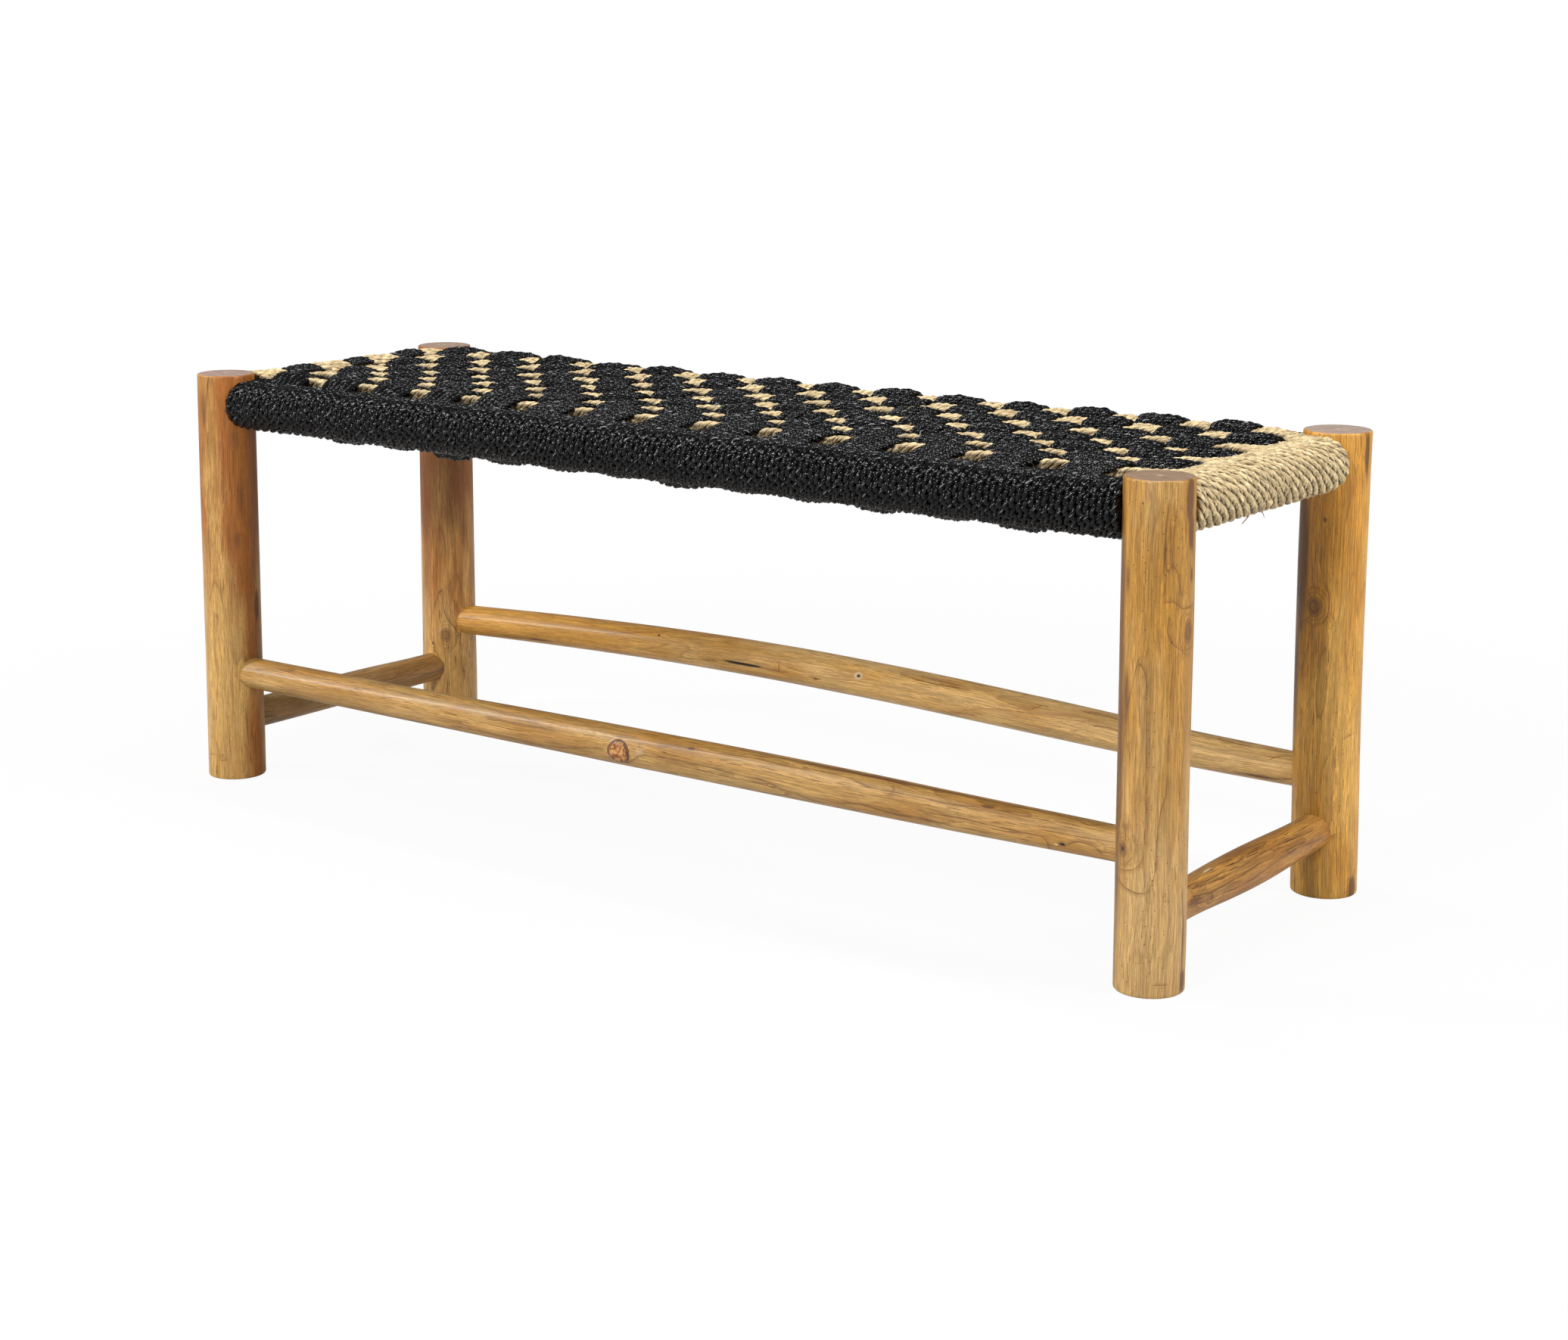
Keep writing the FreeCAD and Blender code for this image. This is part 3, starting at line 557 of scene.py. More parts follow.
# Legs: where each stands, its top and foot across, its marks, and its wood. A mark gives its height, its
# angle round the leg, its half length and half width, and its rise, depth or strength. A photo line gives its
# weight and its corners, in pixels of the photograph. Wood gives the pale, honey and latewood colours, the
# seed, the shares of figure, pores and streaks, and the colour of the sawn end.
LEG_HEIGHT = 442.4
LEG_RINGS, LEG_EASE, LEG_LUMP = (1, 89), 1.8, 1.3
LEGS = {
    "leg_front_left": {
        "stand": (-569, -169), "across": (60.5, 61.5), "tint": 0.3,
        "knots": [(210, 120, 9, 7, 0.8)],
        "stains_and_shade": [
            (375, -28, 32, 13, 0.7), (313, -19, 46, 11, 0.75), (264, -30, 24, 10, 0.7),
            (407, -95, 40, 7, 0.8), (190, 15, 22, 6, 1.2),
        ],
        "photo_lines": [
            (1.8, [(276, 502), (274, 520), (272, 537), (269, 555)]),
            (0.9, [(274, 575), (275, 600), (276, 612)]),
            (0.7, [(276, 635), (274, 655), (275, 705), (279, 755)]),
            (1.2, [(283, 812), (282, 840), (284, 875)]), (0.8, [(287, 815), (287, 826)]),
            (0.9, [(287, 915), (286, 925)]), (0.9, [(282, 938), (283, 950)]),
            (1.4, [(339, 782), (341, 805), (337, 822)]), (1, [(332, 957), (334, 980), (338, 1000)]),
            (0.9, [(325, 940), (328, 975), (331, 1005)]), (0.7, [(280, 996), (295, 998)]),
            (0.7, [(285, 1005), (300, 1005)]), (1.4, [(287, 1000), (286, 1022)]),
        ],
        "tints": [
            (60, -60, 130, 200, -0.5), (330, -12, 120, 24, 1.2), (390, -60, 90, 200, 0.2),
            (60, 5, 200, 14, 0.9),
        ],
        "wood": ((0.6, 0.345, 0.095), (0.37, 0.118, 0.011), (0.13, 0.04, 0.007),
                 1, 0.5, 0.8, 0.7, (0.31, 0.205, 0.165)),
    },
    "leg_front_right": {
        "stand": (569, -169), "across": (61, 61.1), "tint": 0.75,
        "knots": [(127, -112, 10, 9, 1.2), (315, -5, 15, 9, 1.3)],
        "stains_and_shade": [
            (426, -4, 28, 7, 1.3), (398, 2, 22, 6, 1.2), (362, 3, 12, 4, 1), (358, -113, 28, 4, 0.8),
            (147, -108, 9, 8, 0.75), (384, -51, 22, 3, 0.9), (12, 5, 14, 6, 1.3), (45, 3, 34, 2.5, 1.1),
            # The mark at -134 degrees along the whole left limb is painted shade on the leg's inner side
            (250, -134, 300, 12, 1), (258, -112, 46, 7, 0.85),
        ],
        "splits": [(127, -113, 3, 2, 1.4)],
        "photo_lines": [
            (0.9, [(1557, 647), (1556, 675), (1551, 705), (1550, 742)]),
            (1.5, [(1545, 668), (1541, 700), (1540, 725), (1537, 760)]),
            (1, [(1550, 745), (1556, 757), (1562, 787)]), (1.2, [(1550, 745), (1541, 760), (1539, 785)]),
            (0.9, [(1541, 797), (1552, 794), (1562, 806), (1576, 799)]),
            (1, [(1545, 820), (1542, 835), (1547, 850), (1560, 861), (1572, 857)]),
            (0.9, [(1556, 866), (1549, 878), (1547, 910), (1545, 942), (1543, 1000), (1541, 1052),
                   (1533, 1072), (1529, 1100), (1527, 1150), (1520, 1177), (1507, 1182), (1490, 1176),
                   (1477, 1160)]),
            (1, [(1504, 872), (1499, 895), (1492, 922), (1487, 950), (1483, 1000), (1481, 1080)]),
            (1, [(1504, 872), (1514, 890), (1516, 910), (1515, 1000), (1513, 1110), (1512, 1135),
                   (1503, 1147), (1490, 1151), (1477, 1146)]),
            (1.8, [(1562, 1180), (1563, 1235), (1562, 1270), (1560, 1305)]),
            (0.8, [(1527, 1302), (1540, 1303)]),
            (0.8, [(1499, 1108), (1502, 1122), (1497, 1135), (1486, 1141)]),
        ],
        "tints": [(40, -60, 120, 200, -0.75)],
        "wood": ((0.55, 0.335, 0.12), (0.45, 0.218, 0.03), (0.14, 0.052, 0.009),
                 4, 0.4, 1, 0.65, (0.235, 0.145, 0.085)),
    },
    "leg_back_left": {
        "stand": (-569, 167.9), "across": (60.7, 64), "tint": 0.55,
        "knots": [(102, -54, 12, 10, 1.5)],
        "stains_and_shade": [(360, -70, 60, 14, 0.7), (20, -30, 30, 8, 0.5)],
        "photo_lines": [
            (1, [(581, 780), (575, 797), (570, 817), (569, 835), (572, 855), (580, 867)]),
            (1, [(583, 780), (585, 800), (590, 817), (599, 826), (606, 840)]),
            (0.8, [(605, 760), (610, 785), (611, 800)]),
            (0.9, [(587, 857), (589, 875), (592, 892), (590, 915)]),
            (0.8, [(598, 858), (603, 850), (606, 838)]), (0.8, [(573, 845), (577, 862), (586, 880)]),
        ],
        "tints": [(380, -60, 120, 200, 0.6), (60, -60, 120, 200, -0.5)],
        "wood": ((0.62, 0.345, 0.1), (0.33, 0.11, 0.014), (0.11, 0.036, 0.008),
                 7, 0.6, 0.7, 0.75, (0.29, 0.2, 0.15)),
    },
    "leg_back_right": {
        "stand": (569, 167.9), "across": (63.4, 62.2), "bow": (-1.5, -1), "tint": 0.5,
        "knots": [(280, -92, 13, 12, 1.6)],
        "stains_and_shade": [
            # The marks at -128 and -138 degrees darken the left limb: painted shade under the seat
            (422, -4, 26, 5, 1.3), (8, -6, 16, 7, 1.3), (362, -80, 4, 3, 1), (330, -128, 110, 15, 1.1),
            (200, -138, 100, 11, 0.9), (50, -105, 40, 14, 0.6),
        ],
        "photo_lines": [
            (2.2, [(1806, 572), (1809, 600), (1807, 632)]),
            (0.8, [(1724, 772), (1718, 790), (1717, 808), (1724, 832)]),
            (0.8, [(1752, 770), (1759, 785), (1760, 805), (1752, 822)]),
            (0.8, [(1777, 978), (1785, 971), (1793, 968)]),
            (1.6, [(1760, 1105), (1752, 1108), (1747, 1122), (1732, 1132)]),
            (2.6, [(1790, 1150), (1788, 1170), (1782, 1185)]),
        ],
        # The first tint darkens the left limb: painted shade
        "tints": [(300, -125, 200, 26, 0.5), (90, -50, 120, 60, -0.3)],
        "wood": ((0.74, 0.4, 0.08), (0.56, 0.245, 0.022), (0.13, 0.044, 0.007),
                 11, 0.6, 0.8, 0.8, (0.32, 0.235, 0.185)),
    },
}


def make_leg(name, leg):
    top, foot = leg["across"]
    pole = sawn_pole(name, foot, LEG_HEIGHT, LEG_RINGS, LEG_EASE, LEG_LUMP)

    def radius_at(along):
        return (foot + (top - foot) * along / LEG_HEIGHT) / 2

    def line_at(straight):
        lean = np.sin(np.pi * straight[:, 2] / LEG_HEIGHT)
        bow = leg.get("bow", (0, 0))
        move = np.stack([leg["stand"][i] + bow[i] * lean for i in (0, 1)] + [0.0 * lean], axis=1)
        return straight + move

    def unbend(points):
        return points[:, 2], points[:, 0] - leg["stand"][0], points[:, 1] - leg["stand"][1]

    form_branch(pole, foot, LEG_HEIGHT, radius_at, line_at, unbend, leg)
    settle(pole, "teak_branch", branch_material(f"{name}_wood", *leg["wood"]), name)


for leg_name, leg in LEGS.items():
    make_leg(leg_name, leg)

# Stretchers: their line's height and their thickness at five places between the legs, their marks as above,
# and the tenons inside the legs
STRETCHERS = {
    "stretcher_front": {
        "heights": (116.5, 118, 119.5, 120, 120.5), "thick": (33, 35, 37, 36.5, 31.5), "across": -169,
        "sway": 1.5,
        "stubs": [(572, 185, 11.4, 10.2, 1.6)],
        "stains_and_shade": [
            (860, 100, 250, 5, 0.95), (330, 108, 150, 3, 0.5), (657, 133, 6, 3, 1.1), (988, 128, 12, 3, 1),
            (1067, 201, 9, 4, 0.8), (598, 172, 9, 7, -0.5), (1061, 202, 2.5, 2, -1),
        ],
        "splits": [(1067, 200, 3, 2, 2)],
        "photo_lines": [
            (0.9, [(325, 884), (337, 886), (367, 884), (392, 892)]),
            (1, [(347, 911), (385, 919), (415, 926)]),
            (1.2, [(645, 950), (682, 957), (715, 962), (730, 965)]),
            (0.9, [(620, 964), (670, 975), (702, 983), (745, 989), (770, 988), (795, 990)]),
            (1.4, [(847, 999), (870, 1000), (895, 1005), (930, 1012), (955, 1019), (980, 1025),
                   (1012, 1032), (1030, 1042), (1050, 1049), (1065, 1055), (1080, 1059), (1105, 1062),
                   (1137, 1062), (1160, 1070), (1180, 1075), (1212, 1082), (1250, 1087)]),
            (1.1, [(870, 985), (912, 990), (955, 996), (997, 1002), (1030, 1010), (1055, 1015),
                   (1090, 1020), (1120, 1027), (1145, 1040), (1180, 1047), (1202, 1051), (1230, 1057),
                   (1250, 1062), (1275, 1066), (1305, 1066), (1325, 1065), (1350, 1067), (1375, 1072),
                   (1400, 1077)]),
            (0.9, [(882, 1008), (930, 1019), (967, 1028), (1005, 1036), (1035, 1045)]),
            (1, [(1105, 1015), (1142, 1025), (1180, 1032), (1225, 1050)]),
            (1, [(1195, 1062), (1220, 1073), (1250, 1079)]),
            (1.3, [(1230, 1075), (1262, 1080), (1295, 1087), (1325, 1094), (1355, 1101), (1377, 1104),
                   (1385, 1112), (1386, 1121)]),
            (0.8, [(1200, 1081), (1220, 1085), (1250, 1087)]),
            (1, [(1412, 1116), (1422, 1112), (1435, 1114), (1450, 1120), (1453, 1126)]),
            (0.9, [(1390, 1075), (1425, 1085), (1440, 1092), (1455, 1090), (1474, 1090)]),
            (0.8, [(845, 985), (848, 996), (838, 1003), (828, 1008)]),
        ],
        "wood": ((0.53, 0.315, 0.1), (0.41, 0.2, 0.04), (0.115, 0.044, 0.009), 14, 0.6, 0.5, 0.85),
    },
    "stretcher_back": {
        "heights": (117.5, 127.5, 129.2, 121.2, 112.8), "thick": (33.5, 37.5, 39, 38, 33), "across": 167.9,
        "sway": -2, "tint": 0.4,
        "stains_and_shade": [
            (720, 124, 60, 4, 0.6), (470, 195, 55, 5, 0.6), (160, 218, 30, 3, 0.9), (562, 194, 5, 2, 1.1),
            (617, 158, 6, 5, -0.9), (1085, 215, 45, 4, 0.9),
        ],
        "splits": [(462, 191, 29, 2, 1.8), (617, 158, 2.8, 2.2, 2.2), (340, 136, 2.4, 1.6, 1)],
        "photo_lines": [
            (1.5, [(667, 841), (695, 844), (710, 845), (726, 848)]),
            (0.7, [(802, 838), (855, 836), (880, 836)]), (0.7, [(845, 859), (870, 855), (882, 851)]),
            (1.2, [(925, 871), (945, 874)]), (1.2, [(1000, 882), (1037, 889)]),
            (0.8, [(1029, 877), (1030, 886)]), (1.3, [(1073, 896), (1083, 898)]),
            (1.6, [(1192, 892), (1217, 900), (1242, 905), (1280, 912)]),
            (1.1, [(1217, 894), (1250, 901), (1280, 909), (1307, 914)]), (1.1, [(1255, 940), (1287, 946)]),
            (0.8, [(1322, 932), (1355, 939), (1375, 935)]), (0.7, [(1330, 925), (1350, 928), (1385, 934)]),
            (1.4, [(1430, 940), (1455, 945), (1478, 951)]), (1.2, [(1445, 959), (1460, 961), (1477, 965)]),
            (1.3, [(1610, 977), (1647, 986), (1685, 992), (1706, 996)]),
            (1.6, [(1597, 1016), (1635, 1023), (1672, 1028), (1706, 1029)]),
            (0.8, [(1680, 1003), (1692, 999), (1706, 1000)]),
        ],
        "tints": [(60, 180, 300, 200, 1.1), (400, 180, 150, 200, -0.3), (900, 180, 300, 200, -0.6)],
        "wood": ((0.74, 0.46, 0.17), (0.62, 0.31, 0.06), (0.2, 0.065, 0.012), 17, 0.45, 0.4, 0.6),
    },
    "stretcher_left": {
        "heights": (62, 62, 62.5, 62, 62), "thick": (33, 33.5, 34, 33.5, 33), "across": -569, "sway": 1,
        "knots": [(120, 30, 8, 6, 1)],
        "stains_and_shade": [(170, 60, 120, 5, 0.7)],
        "wood": ((0.48, 0.28, 0.1), (0.37, 0.18, 0.05), (0.1, 0.036, 0.008), 20, 0.9, 0.5, 0.8),
    },
    "stretcher_right": {
        "heights": (60.5, 61.5, 62, 63.5, 64), "thick": (33, 35, 38, 35.5, 34), "across": 569, "sway": 2,
        "knots": [(89, 90, 6, 5, 0.8)],
        "stains_and_shade": [
            (62, 75, 26, 8, 0.9), (160, 50, 60, 6, 0.7), (107, 9, 9, 1.6, -1), (250, 62, 60, 5, 0.6),
        ],
        "photo_lines": [
            (1.2, [(1606, 1185), (1632, 1174), (1655, 1162), (1690, 1135), (1712, 1122), (1748, 1108)]),
            (1.3, [(1575, 1175), (1615, 1162), (1645, 1142), (1670, 1125), (1705, 1110), (1735, 1097)]),
            (1.1, [(1575, 1185), (1600, 1180), (1632, 1162), (1655, 1147), (1680, 1132), (1725, 1112)]),
            (0.9, [(1580, 1170), (1610, 1157), (1640, 1136), (1665, 1118)]),
            (1.5, [(1572, 1197), (1590, 1192), (1600, 1184)]),
        ],
        "wood": ((0.55, 0.275, 0.06), (0.42, 0.165, 0.02), (0.08, 0.028, 0.006), 23, 0.8, 0.7, 1),
    },
}
LONG_SPAN, SHORT_SPAN, SHORT_START = 1138.0, 336.9, -169.0
LONG_RINGS, SHORT_RINGS, STRETCHER_EASE, STRETCHER_LUMP = (3, 94), (1, 59), 1.2, 1.6
FIRST_PLACE = 30.0
TENON_ACROSS, TENON_PAST_AXIS, LEG_INSIDE, TENON_STEP = 24.0, 8.0, 24.0, 3.0


def make_stretcher(name, made):
    long_one = name in ("stretcher_front", "stretcher_back")
    span = LONG_SPAN if long_one else SHORT_SPAN
    length = span + 2 * TENON_PAST_AXIS
    across = made["thick"][2]
    rings = LONG_RINGS if long_one else SHORT_RINGS
    pole = sawn_pole(name, across, length, rings, STRETCHER_EASE, STRETCHER_LUMP)
    marks = np.linspace(FIRST_PLACE, span - FIRST_PLACE, 5) - span / 2
    thick = np.polyfit(marks, made["thick"], 4)
    rise = np.polyfit(marks, made["heights"], 4)

    def radius_at(along):
        place = along - TENON_PAST_AXIS - span / 2
        body = np.polyval(thick, np.clip(place, marks[0], marks[-1])) / 2
        inside = np.clip((np.abs(place) - span / 2 + LEG_INSIDE) / TENON_STEP, 0.0, 1.0)
        return body + (TENON_ACROSS / 2 - body) * inside

    def middle_at(place):
        height = np.polyval(rise, np.clip(place, marks[0], marks[-1]))
        return made["across"] + made["sway"] * np.sin(2 * np.pi * place / span), height

    def line_at(straight):
        place = straight[:, 2] - TENON_PAST_AXIS - span / 2
        aside, height = middle_at(place)
        if long_one:
            return np.stack([place, aside + straight[:, 0], height + straight[:, 1]], axis=1)
        run = place + SHORT_START + SHORT_SPAN / 2
        return np.stack([aside + straight[:, 1], run, height + straight[:, 0]], axis=1)

    def unbend(points):
        place = points[:, 0] if long_one else points[:, 1] - SHORT_START - SHORT_SPAN / 2
        aside, height = middle_at(place)
        along = place + TENON_PAST_AXIS + span / 2
        if long_one:
            return along, points[:, 1] - aside, points[:, 2] - height
        return along, points[:, 2] - height, points[:, 0] - aside

    form_branch(pole, across, length, radius_at, line_at, unbend, made)
    settle(pole, "teak_branch", branch_material(f"{name}_wood", *made["wood"]), name)


for stretcher_name, made in STRETCHERS.items():
    make_stretcher(stretcher_name, made)

# Seat cords. Black turns go round the front and back rails, natural turns round the left and right ones, and
# both pass over and under each other in groups of six, on the upper and on the lower side. The rows of the
# weave have one height in the middle of the bench and one at its ends.
COLUMNS, ROWS, TURNS = 29, 7, 6
WEAVE_LEFT, WEAVE_RIGHT, SEAT_HALF_Y = -577.5, 539.0, 138.0
COLUMN = (WEAVE_RIGHT - WEAVE_LEFT) / COLUMNS
ROW = 2 * SEAT_HALF_Y / ROWS
HALF_GROUP = (TURNS - 1) / 2
ROW_MIDDLES = np.array([-117.0, -61.0, -20.0, 15.0, 57.5, 97.0, 134.0])
FRONT_GAP, BACK_GAP = 34.0, 30.0
MIDDLE_HEIGHTS = np.array([432.3, 430.0, 431.2, 432.5, 433.2, 435.0, 436.2])
END_HEIGHTS = np.array([432.0, 430.0, 429.2, 429.4, 431.2, 433.6, 437.2])
END_FROM_MIDDLE = 480.0
FRONT_RAIL, BACK_RAIL, SIDE_RAIL = -169.0, 167.9, 569.0
LONG_RAIL, END_RAIL = 410.0, 413.0
ROLL = 22.2
OCTAGON = ROLL / math.cos(math.radians(22.5))
UP_AND_OVER = (247.5, 202.5, 157.5, 112.5, 67.5)
OVER_AND_DOWN = (112.5, 67.5, 22.5, -22.5, -67.5)
FAN, FAN_POWER, BLACK_FAN_FROM, NATURAL_FAN_FROM = 4.0, 1.6, 430.0, 50.0
UNEVEN = 0.4

# Black groups: how far they rise and dip, where they leave the rolls below, and the squeeze of the left ones
BLACK_RISE, BLACK_DOME, BLACK_DIP, BLACK_TUCK = 4.6, 1.9, 8.0, 0.8
BLACK_LUMP, BLACK_UNDER_LUMP = 0.3, 5.0
BLACK_CORNER, BLACK_LEAVES, CROSSING = 150.0, 386.5, 151.0
LEFT_SQUEEZE = 0.933
SQUEEZE_AT, SQUEEZE_SHARE = (95.0, 128.0, 150.0), (0.0, 0.2, 1.0)
OVER_LEFT_RAIL, UNDER_LEFT_RAIL = 437.0, 432.0
UNDER_MIDDLE, UNDER_HANG, UNDER_LIFT = 385.0, 8.0, 4.0

# Natural groups: three tiers of two turns where they are out, and their way over the left rail
TIER = (5.6, 5.8, 6.4, 7.0, 7.2, 7.4, 7.4)
TIER_LEAN = (1.2, 1.0, 0.8, 0.5, 0.3, 0.1, 0.0)
UPPER_TURN, LOWER_TURN = (0.0, 1.6), (3.0, -2.4)
NATURAL_DIP, NATURAL_TUCK = 3.8, 1.08
NATURAL_CORNER, NATURAL_LEAVES = 551.0, 389.5
LEFT_CREST, LEFT_CREST_OUT = ((-563.0, 433.5), (-547.0, 431.0)), 438.0
NATURAL_UNDER, NATURAL_UNDER_OUT = 2.0, -1.5
HALF_LUMP = 0.23

# Section of the two-strand cord: its corners round the middle, its size and the length of one twist
BLACK_ACROSS, NATURAL_ACROSS = 3.75, 3.9
BLACK_LAY, NATURAL_LAY = 18.5, -18.0
LOBE_TURN = np.radians([-52.0, 0.0, 52.0, 90.0, 128.0, 180.0, 232.0, 270.0])
LOBE_REACH = np.array([0.9, 1.06, 0.9, 0.4, 0.9, 1.06, 0.9, 0.4])
ROUND = np.stack([np.cos(LOBE_TURN), np.sin(LOBE_TURN)], axis=1)
LOBED = LOBE_REACH[:, None] * ROUND
PLAIN = 0.85 * ROUND
WIDEN = 1.16
SIDES = len(LOBED)
KNOT_GAP, PLUMPNESS, TWIST_DRIFT = 24.0, 0.075, 0.22
NEXT_CORD = 700.0
HIDDEN_STEP, TOP_STEP, UNDER_STEP, BACK_STEP = 4.5, 1.55, 3.0, 2.0
BLADE_STEP, BLADE_ASIDE = 1.5, (0.31, 0.52, 0.79)
SEAT_MIDDLE, LOW_VIEW_Y, BACK_ROLL_Y = 411.0, -90.0, 150.0
BLACK_ROLL_FROM, NATURAL_ROLL_FROM = 152.0, 552.0
BLACK_HIDDEN, NATURAL_HIDDEN, UNDER_HIDDEN = 2.5, 1.6, 1.5

draws = np.random.default_rng(20)
sag = draws.uniform(0.0, 3.5, COLUMNS)
mound = draws.normal(0.0, 0.6, (COLUMNS, ROWS))
swell = draws.normal(0.0, 0.05, (COLUMNS, ROWS)) + np.array([1.3, 1.28, 1.24, 1.18, 1.15, 1.13, 1.13])
swell[-1] += 0.15
swell[0] *= 0.5


def top_heights(x):
    """Height of each row of the weave at a place along the bench."""
    share = min(1.0, abs(x) / END_FROM_MIDDLE) ** 2
    return MIDDLE_HEIGHTS + (END_HEIGHTS - MIDDLE_HEIGHTS) * share


def round_rail(centre, height, turns):
    """Corners of the octagon that the roll's line touches, with their share of the way to the outer face."""
    for turn in turns:
        cos, sin = math.cos(math.radians(turn)), math.sin(math.radians(turn))
        yield centre + OCTAGON * cos, height + OCTAGON * sin, abs(cos)


def fan_out(place, half, start):
    """How far a turn leans to the leg on the outer face of the roll."""
    return math.copysign(FAN * max(0.0, (abs(place) - start) / (half - start)) ** FAN_POWER, place)


def column_middle(column):
    return WEAVE_LEFT + COLUMN * (column + 0.5)


def row_middle(row):
    """Middle of a row at the rails and on the underside."""
    return -SEAT_HALF_Y + ROW * (row + 0.5)


def black_is_out(column, row):
    return (column + row) % 2 == 1


def black_route(column):
    """Control points of the six turns of one black group. The first group lies on the left rail."""
    points = []
    middle = column_middle(column)
    pitch = COLUMN / TURNS
    heights = top_heights(middle)
    over_rail = column == 0
    inset = max(0.0, -middle) * (1.0 - LEFT_SQUEEZE)
    gaps = np.concatenate([[FRONT_GAP], np.diff(ROW_MIDDLES), [BACK_GAP]])
    from_end = min(max(column - 1, 0), COLUMNS - 1 - column)

    def add(offset, y, z, spread=1.0, outer=0.0):
        jitter = draws.normal(0.0, UNEVEN, 3)
        x = middle + inset * np.interp(abs(y), SQUEEZE_AT, SQUEEZE_SHARE) + offset * spread
        x += outer * fan_out(x, WEAVE_RIGHT, BLACK_FAN_FROM)
        points.append((x + jitter[0], y + jitter[1] * 0.5, z + jitter[2]))

    points.append((middle + inset - pitch * TURNS / 2, -BLACK_CORNER, BLACK_LEAVES))
    for turn in range(TURNS):
        aside = (turn - HALF_GROUP) * pitch
        dome = 1.0 - (aside / (pitch * HALF_GROUP)) ** 2
        proud = draws.normal(0.0, UNEVEN)
        for y, z, outer in round_rail(FRONT_RAIL, LONG_RAIL, UP_AND_OVER):
            add(aside, y, z, 1.0, outer)
        for row in range(ROWS):
            y, z = ROW_MIDDLES[row], heights[row]
            if black_is_out(column, row):
                z = max(z + BLACK_RISE, OVER_LEFT_RAIL) if over_rail else z + BLACK_RISE
                z += BLACK_DOME * dome + proud + mound[column, row]
                add(aside, y - BLACK_LUMP * gaps[row], z, swell[column, row])
                add(aside, y + BLACK_LUMP * gaps[row + 1], z, swell[column, row])
            else:
                under = UNDER_LEFT_RAIL if over_rail else z - BLACK_DIP
                add(aside, y - BLACK_UNDER_LUMP, under, BLACK_TUCK)
                add(aside, y + BLACK_UNDER_LUMP, under, BLACK_TUCK)
        for y, z, outer in round_rail(BACK_RAIL, LONG_RAIL, OVER_AND_DOWN):
            add(aside, y, z, 1.0, outer)
        add(aside, BLACK_CORNER, BLACK_LEAVES)
        for row in reversed(range(ROWS)):
            hang = (UNDER_HANG + sag[column] + dome) * min(1.0, 0.15 + 0.4 * from_end)
            z = UNDER_MIDDLE - (hang if black_is_out(column, row) else -UNDER_LIFT)
            moved = aside + pitch * (ROWS - row - 0.5) / ROWS
            for half in (HALF_LUMP, -HALF_LUMP):
                add(moved, row_middle(row) + half * ROW, z)
        if turn < TURNS - 1:
            add(aside + pitch, -CROSSING, BLACK_LEAVES)
    points.append((middle + inset + pitch * TURNS / 2, -BLACK_CORNER, BLACK_LEAVES))
    return points


def natural_route(row):
    """Control points of the six turns of one natural group."""
    points = []
    middle = row_middle(row)
    pitch = ROW / TURNS

    def add(place, x, z, outer=0.0):
        jitter = draws.normal(0.0, UNEVEN, 3)
        place += outer * fan_out(place, SEAT_HALF_Y, NATURAL_FAN_FROM)
        points.append((x + jitter[0] * 0.5, place + jitter[1], z + jitter[2]))

    points.append((-NATURAL_CORNER, middle - pitch * TURNS / 2, NATURAL_LEAVES))
    for turn in range(TURNS):
        aside = (turn - HALF_GROUP) * pitch
        uneven = draws.normal(0.0, 0.5)
        for x, z, outer in round_rail(-SIDE_RAIL, END_RAIL, UP_AND_OVER[:-1]):
            add(middle + aside, x, z, outer)
        for x, z in LEFT_CREST:
            z = z if black_is_out(0, row) else LEFT_CREST_OUT + uneven
            add(middle + aside + 0.5 * (ROW_MIDDLES[row] - middle), x, z)
        for column in range(1, COLUMNS):
            x = column_middle(column)
            z = top_heights(x)[row]
            if black_is_out(column, row):
                y = ROW_MIDDLES[row] + aside * NATURAL_TUCK
                z -= NATURAL_DIP
            else:
                tier = turn // 2 - 1
                back, lift = UPPER_TURN if turn % 2 else LOWER_TURN
                y = ROW_MIDDLES[row] + TIER[row] * tier + back
                z += uneven - TIER_LEAN[row] * tier + lift
            for half in (-HALF_LUMP, HALF_LUMP):
                add(y, x + half * COLUMN, z)
        for x, z, outer in round_rail(SIDE_RAIL, END_RAIL, OVER_AND_DOWN):
            add(middle + aside, x, z, outer)
        add(middle + aside, NATURAL_CORNER, NATURAL_LEAVES)
        for column in reversed(range(1, COLUMNS)):
            z = UNDER_MIDDLE + (NATURAL_UNDER if black_is_out(column, row) else NATURAL_UNDER_OUT)
            y = middle + aside + pitch * (COLUMNS - column - 0.5) / COLUMNS
            for half in (HALF_LUMP, -HALF_LUMP):
                add(y, column_middle(column) + half * COLUMN, z)
        if turn < TURNS - 1:
            add(middle + aside + pitch, -NATURAL_CORNER, NATURAL_LEAVES)
    points.append((-NATURAL_CORNER, middle + pitch * TURNS / 2, NATURAL_LEAVES))
    return points


def smooth_line(name, points):
    """Points along a smooth curve through a route."""
    curve = bpy.data.curves.new(name, "CURVE")
    curve.dimensions = "3D"
    curve.resolution_u = 6
    spline = curve.splines.new("NURBS")
    spline.points.add(len(points) - 1)
    spline.points.foreach_set("co", np.column_stack([points, np.ones(len(points))]).ravel())
    spline.order_u = 3
    spline.use_endpoint_u = True
    holder = bpy.data.objects.new(name, curve)
    scene.collection.objects.link(holder)
    traced = bpy.data.meshes.new_from_object(holder)
    line = places(traced)
    bpy.data.objects.remove(holder)
    bpy.data.curves.remove(curve)
    bpy.data.meshes.remove(traced)
    return line


